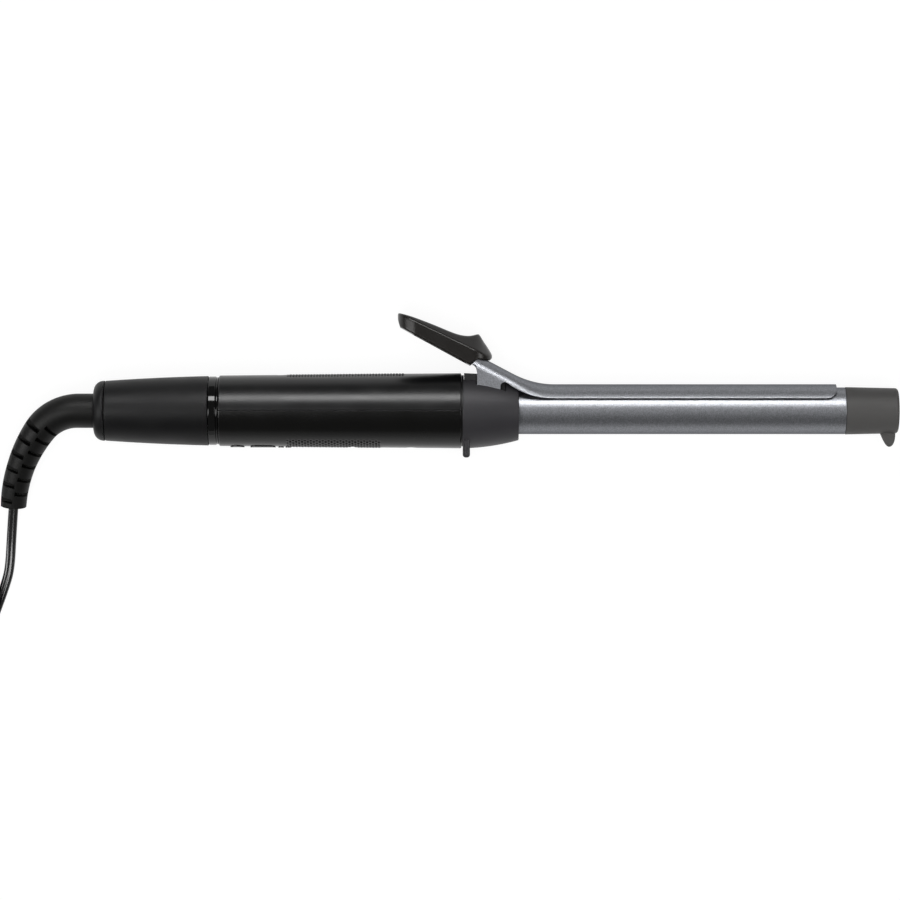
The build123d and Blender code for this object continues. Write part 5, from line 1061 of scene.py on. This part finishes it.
insets = np.r_[0.0, np.linspace(EDGE, LEVER_WALL, 4), np.linspace(LEVER_WALL + HOLLOW_SLOPE, LEVER_HALF, 12)]
under = [lever_row(inset, underneath(inset)) for inset in insets]
lever = piece("thumb_lever_skin", [np.stack(under[::-1] + rows)], "clip_arm",
              plastics["satin_brown_black_nylon"], ["thumb_lever"])
lever.data.set_sharp_from_angle(angle=np.radians(60))

# %% [markdown]
# ## Strain relief
# A soft elbow on the swivel, cut with two staggered rows of slots so that it bends. The surface is a tube
# of (length, angle) points along a straight neck and two arcs. In a slot, points that stand further out
# than the floor are drawn in to it.

# %% Strain relief: its line
NECK_X, NECK_START, LEAN = -151.4, CAP_X + 2.0, 0.2408
ELBOW_R, ELBOW_TURN, TAPER_R, TAPER_TURN = 19.47, np.radians(54.07), 61.39, np.radians(32.13)
NECK_LENGTH = NECK_START - NECK_X
TAPER_START = NECK_LENGTH + ELBOW_R * ELBOW_TURN
TAPER_LENGTH = TAPER_R * TAPER_TURN
ELBOW_LENGTH = TAPER_START + TAPER_LENGTH
GUARD_STATIONS = [0, NECK_LENGTH, TAPER_START, TAPER_START + TAPER_LENGTH / 2, ELBOW_LENGTH]
GUARD_RADII = [7.0, 7.0, 6.57, 5.7, 5.25]


def relief_path(s):
    """Middle line in its own plane: straight, then a tight arc, then a wide one; and its heading."""
    a = np.clip((s - NECK_LENGTH) / ELBOW_R, 0, ELBOW_TURN)
    b = ELBOW_TURN + np.clip((s - TAPER_START) / TAPER_R, 0, TAPER_TURN)
    late = s > TAPER_START
    neck = NECK_START - np.minimum(s, NECK_LENGTH)
    x = neck - ELBOW_R * np.sin(a) - TAPER_R * (np.sin(b) - np.sin(ELBOW_TURN)) * late
    y = -ELBOW_R * (1 - np.cos(a)) - TAPER_R * (np.cos(ELBOW_TURN) - np.cos(b)) * late
    return x, y, np.where(late, b, a)


print("strain relief:", round(ELBOW_LENGTH, 1), "mm along its line")

# %% Strain relief: its skin
SLOT_PITCH, SLOT_COUNT, SLOT_FLOOR, SLOT_WEB = 6.4, 6, 1.6, 0.3
SLOTS = ((26.3, 1.8, -1), (23.0, 1.6, 1))  # first slot, width, side
cuts = np.array([start + n * SLOT_PITCH + end * width / 2 + nudge for start, width, row in SLOTS
                 for n in range(SLOT_COUNT) for end in (-1, 1) for nudge in (-0.06, 0.06)])
length = np.unique(np.r_[np.linspace(0, ELBOW_LENGTH, 150), cuts])
length = length[(length >= 0) & (length <= ELBOW_LENGTH)]
web = np.array([np.arccos((SLOT_WEB + nudge) / 6.0) for nudge in (-0.05, 0.05)])
round_angle = np.unique(np.r_[np.linspace(0, 2 * np.pi, 145), web, np.pi - web, np.pi + web, 2 * np.pi - web])
x, y, heading = (v[:, None] for v in relief_path(length))
r = np.interp(length, GUARD_STATIONS, GUARD_RADII)[:, None]
out, rise = r * np.cos(round_angle), r * np.sin(round_angle)
for start, width, row in SLOTS:
    along = length[:, None] - start
    nearest = np.clip(np.round(along / SLOT_PITCH), 0, SLOT_COUNT - 1)
    in_slot = (np.abs(along - SLOT_PITCH * nearest) <= width / 2) & (out * row < -SLOT_WEB)
    rise = np.where(in_slot, np.clip(rise, -SLOT_FLOOR, SLOT_FLOOR), rise)
flat_x = x - out * np.sin(heading)
flat_y = y + out * np.cos(heading)
relief_skin = np.stack([flat_x, flat_y * np.cos(LEAN) - rise * np.sin(LEAN),
                        AXIS_Z + flat_y * np.sin(LEAN) + rise * np.cos(LEAN)], -1)
relief = piece("strain_relief_skin", capped(relief_skin), "cord_end", plastics["soft_black_pvc"],
               ["strain_relief"])
soft_edges(relief, 0.12, 2, 45)

# %% [markdown]
# ## Floor and world
# The photograph is cut out on white. So the floor is plain white paper: the camera and mirror-like surfaces see
# it glow at nearly full white, it still takes the object's soft shadow, and to all other rays it is a mid grey
# that throws little light back up.

# %% Floor and world
FLOOR_HALF, WORLD_STRENGTH = 3, 0.20  # half a side in metres
ground = bpy.data.meshes.new("floor")
square = np.array([(-1, -1, 0), (1, -1, 0), (1, 1, 0), (-1, 1, 0)], float)
ground.from_pydata(square * FLOOR_HALF, [], [(0, 1, 2, 3)])
floor = placed("floor", ground)
paper = bpy.data.materials.new("white_paper")
paper.use_nodes = True
tree = paper.node_tree
tree.nodes.clear()
ray = add(tree, "ShaderNodeLightPath")
seen = add(tree, "ShaderNodeMath", {0: ray.outputs["Is Camera Ray"], 1: ray.outputs["Is Glossy Ray"]},
           operation="MAXIMUM")
seen = add(tree, "ShaderNodeMath", {0: seen.outputs["Value"], 1: ray.outputs["Is Transmission Ray"]},
           operation="MAXIMUM")
plain = add(tree, "ShaderNodeBsdfDiffuse", {"Color": (0.5, 0.5, 0.5, 1)})
thin = add(tree, "ShaderNodeBsdfDiffuse", {"Color": (0.16, 0.16, 0.16, 1)})
glow = add(tree, "ShaderNodeEmission", {"Color": (1, 1, 1, 1), "Strength": 0.9})
bright = add(tree, "ShaderNodeAddShader", {0: thin.outputs["BSDF"], 1: glow.outputs["Emission"]})
mix = add(tree, "ShaderNodeMixShader", {0: seen.outputs["Value"], 1: plain.outputs["BSDF"],
                                        2: bright.outputs["Shader"]})
add(tree, "ShaderNodeOutputMaterial", {"Surface": mix.outputs["Shader"]})
ground.materials.append(paper)
world = bpy.data.worlds.new("studio")
bpy.context.scene.world = world
world.use_nodes = True
wire(world.node_tree, world.node_tree.nodes["Background"], {"Color": (1, 1, 1, 1), "Strength": WORLD_STRENGTH})
print("floor:", 2 * FLOOR_HALF, "m across")

# %% [markdown]
# ## Studio light
# A softbox high on the lever's side, with a brighter core, draws one broad highlight along everything round.
# An overhead fill gives the plain level, at which a colour shows about as it is written. Two softboxes beyond
# the ends draw lines on what faces them: the cord and its guard on the left, the lever's slants on the right.
# A low card lifts the lower edges. A lamp that only draws highlights is hidden from diffuse rays, and the fill
# from glossy ones.

# %% Studio light
LAMPS = [
    # name, place and target in metres, size in metres, radiance, seen by diffuse rays, seen by glossy rays
    ("key_softbox", (0.0, 0.70, 0.81), (0, 0, 0), (0.9, 0.36), 1.0, True, True),
    ("key_core", (0.0, 0.71, 0.82), (0, 0, 0), (0.9, 0.27), 14.0, False, True),
    ("overhead_fill", (0.0, -0.4, 2.15), (0, 0, 0), (1.6, 1.6), 3.8, True, False),
    ("left_softbox", (-0.80, -0.1, 0.90), (0, 0, 0), (0.34, 1.3), 7.5, False, True),
    ("right_softbox", (0.75, 0.0, 0.80), (0, 0, 0), (0.40, 0.4), 6.0, False, True),
    ("low_card", (0.0, -1.0, 0.17), (0, 0, 0.1), (1.8, 0.34), 0.45, True, True),
]
for name, place, target, size, radiance, diffuse, glossy in LAMPS:
    lamp = bpy.data.lights.new(name, "AREA")
    lamp.shape, lamp.size, lamp.size_y = "RECTANGLE", size[0], size[1]
    lamp.energy = np.pi * size[0] * size[1] * radiance  # power is pi x area x radiance
    made = placed(name, lamp)
    way = np.subtract(target, place)
    made.location = place
    tilt = np.arctan2(np.hypot(way[0], way[1]), -way[2])
    made.rotation_euler = (tilt, 0, np.arctan2(way[0], -way[1]) + np.pi)
    made.visible_camera, made.visible_diffuse, made.visible_glossy = False, diffuse, glossy
print("lamps:", len(LAMPS))
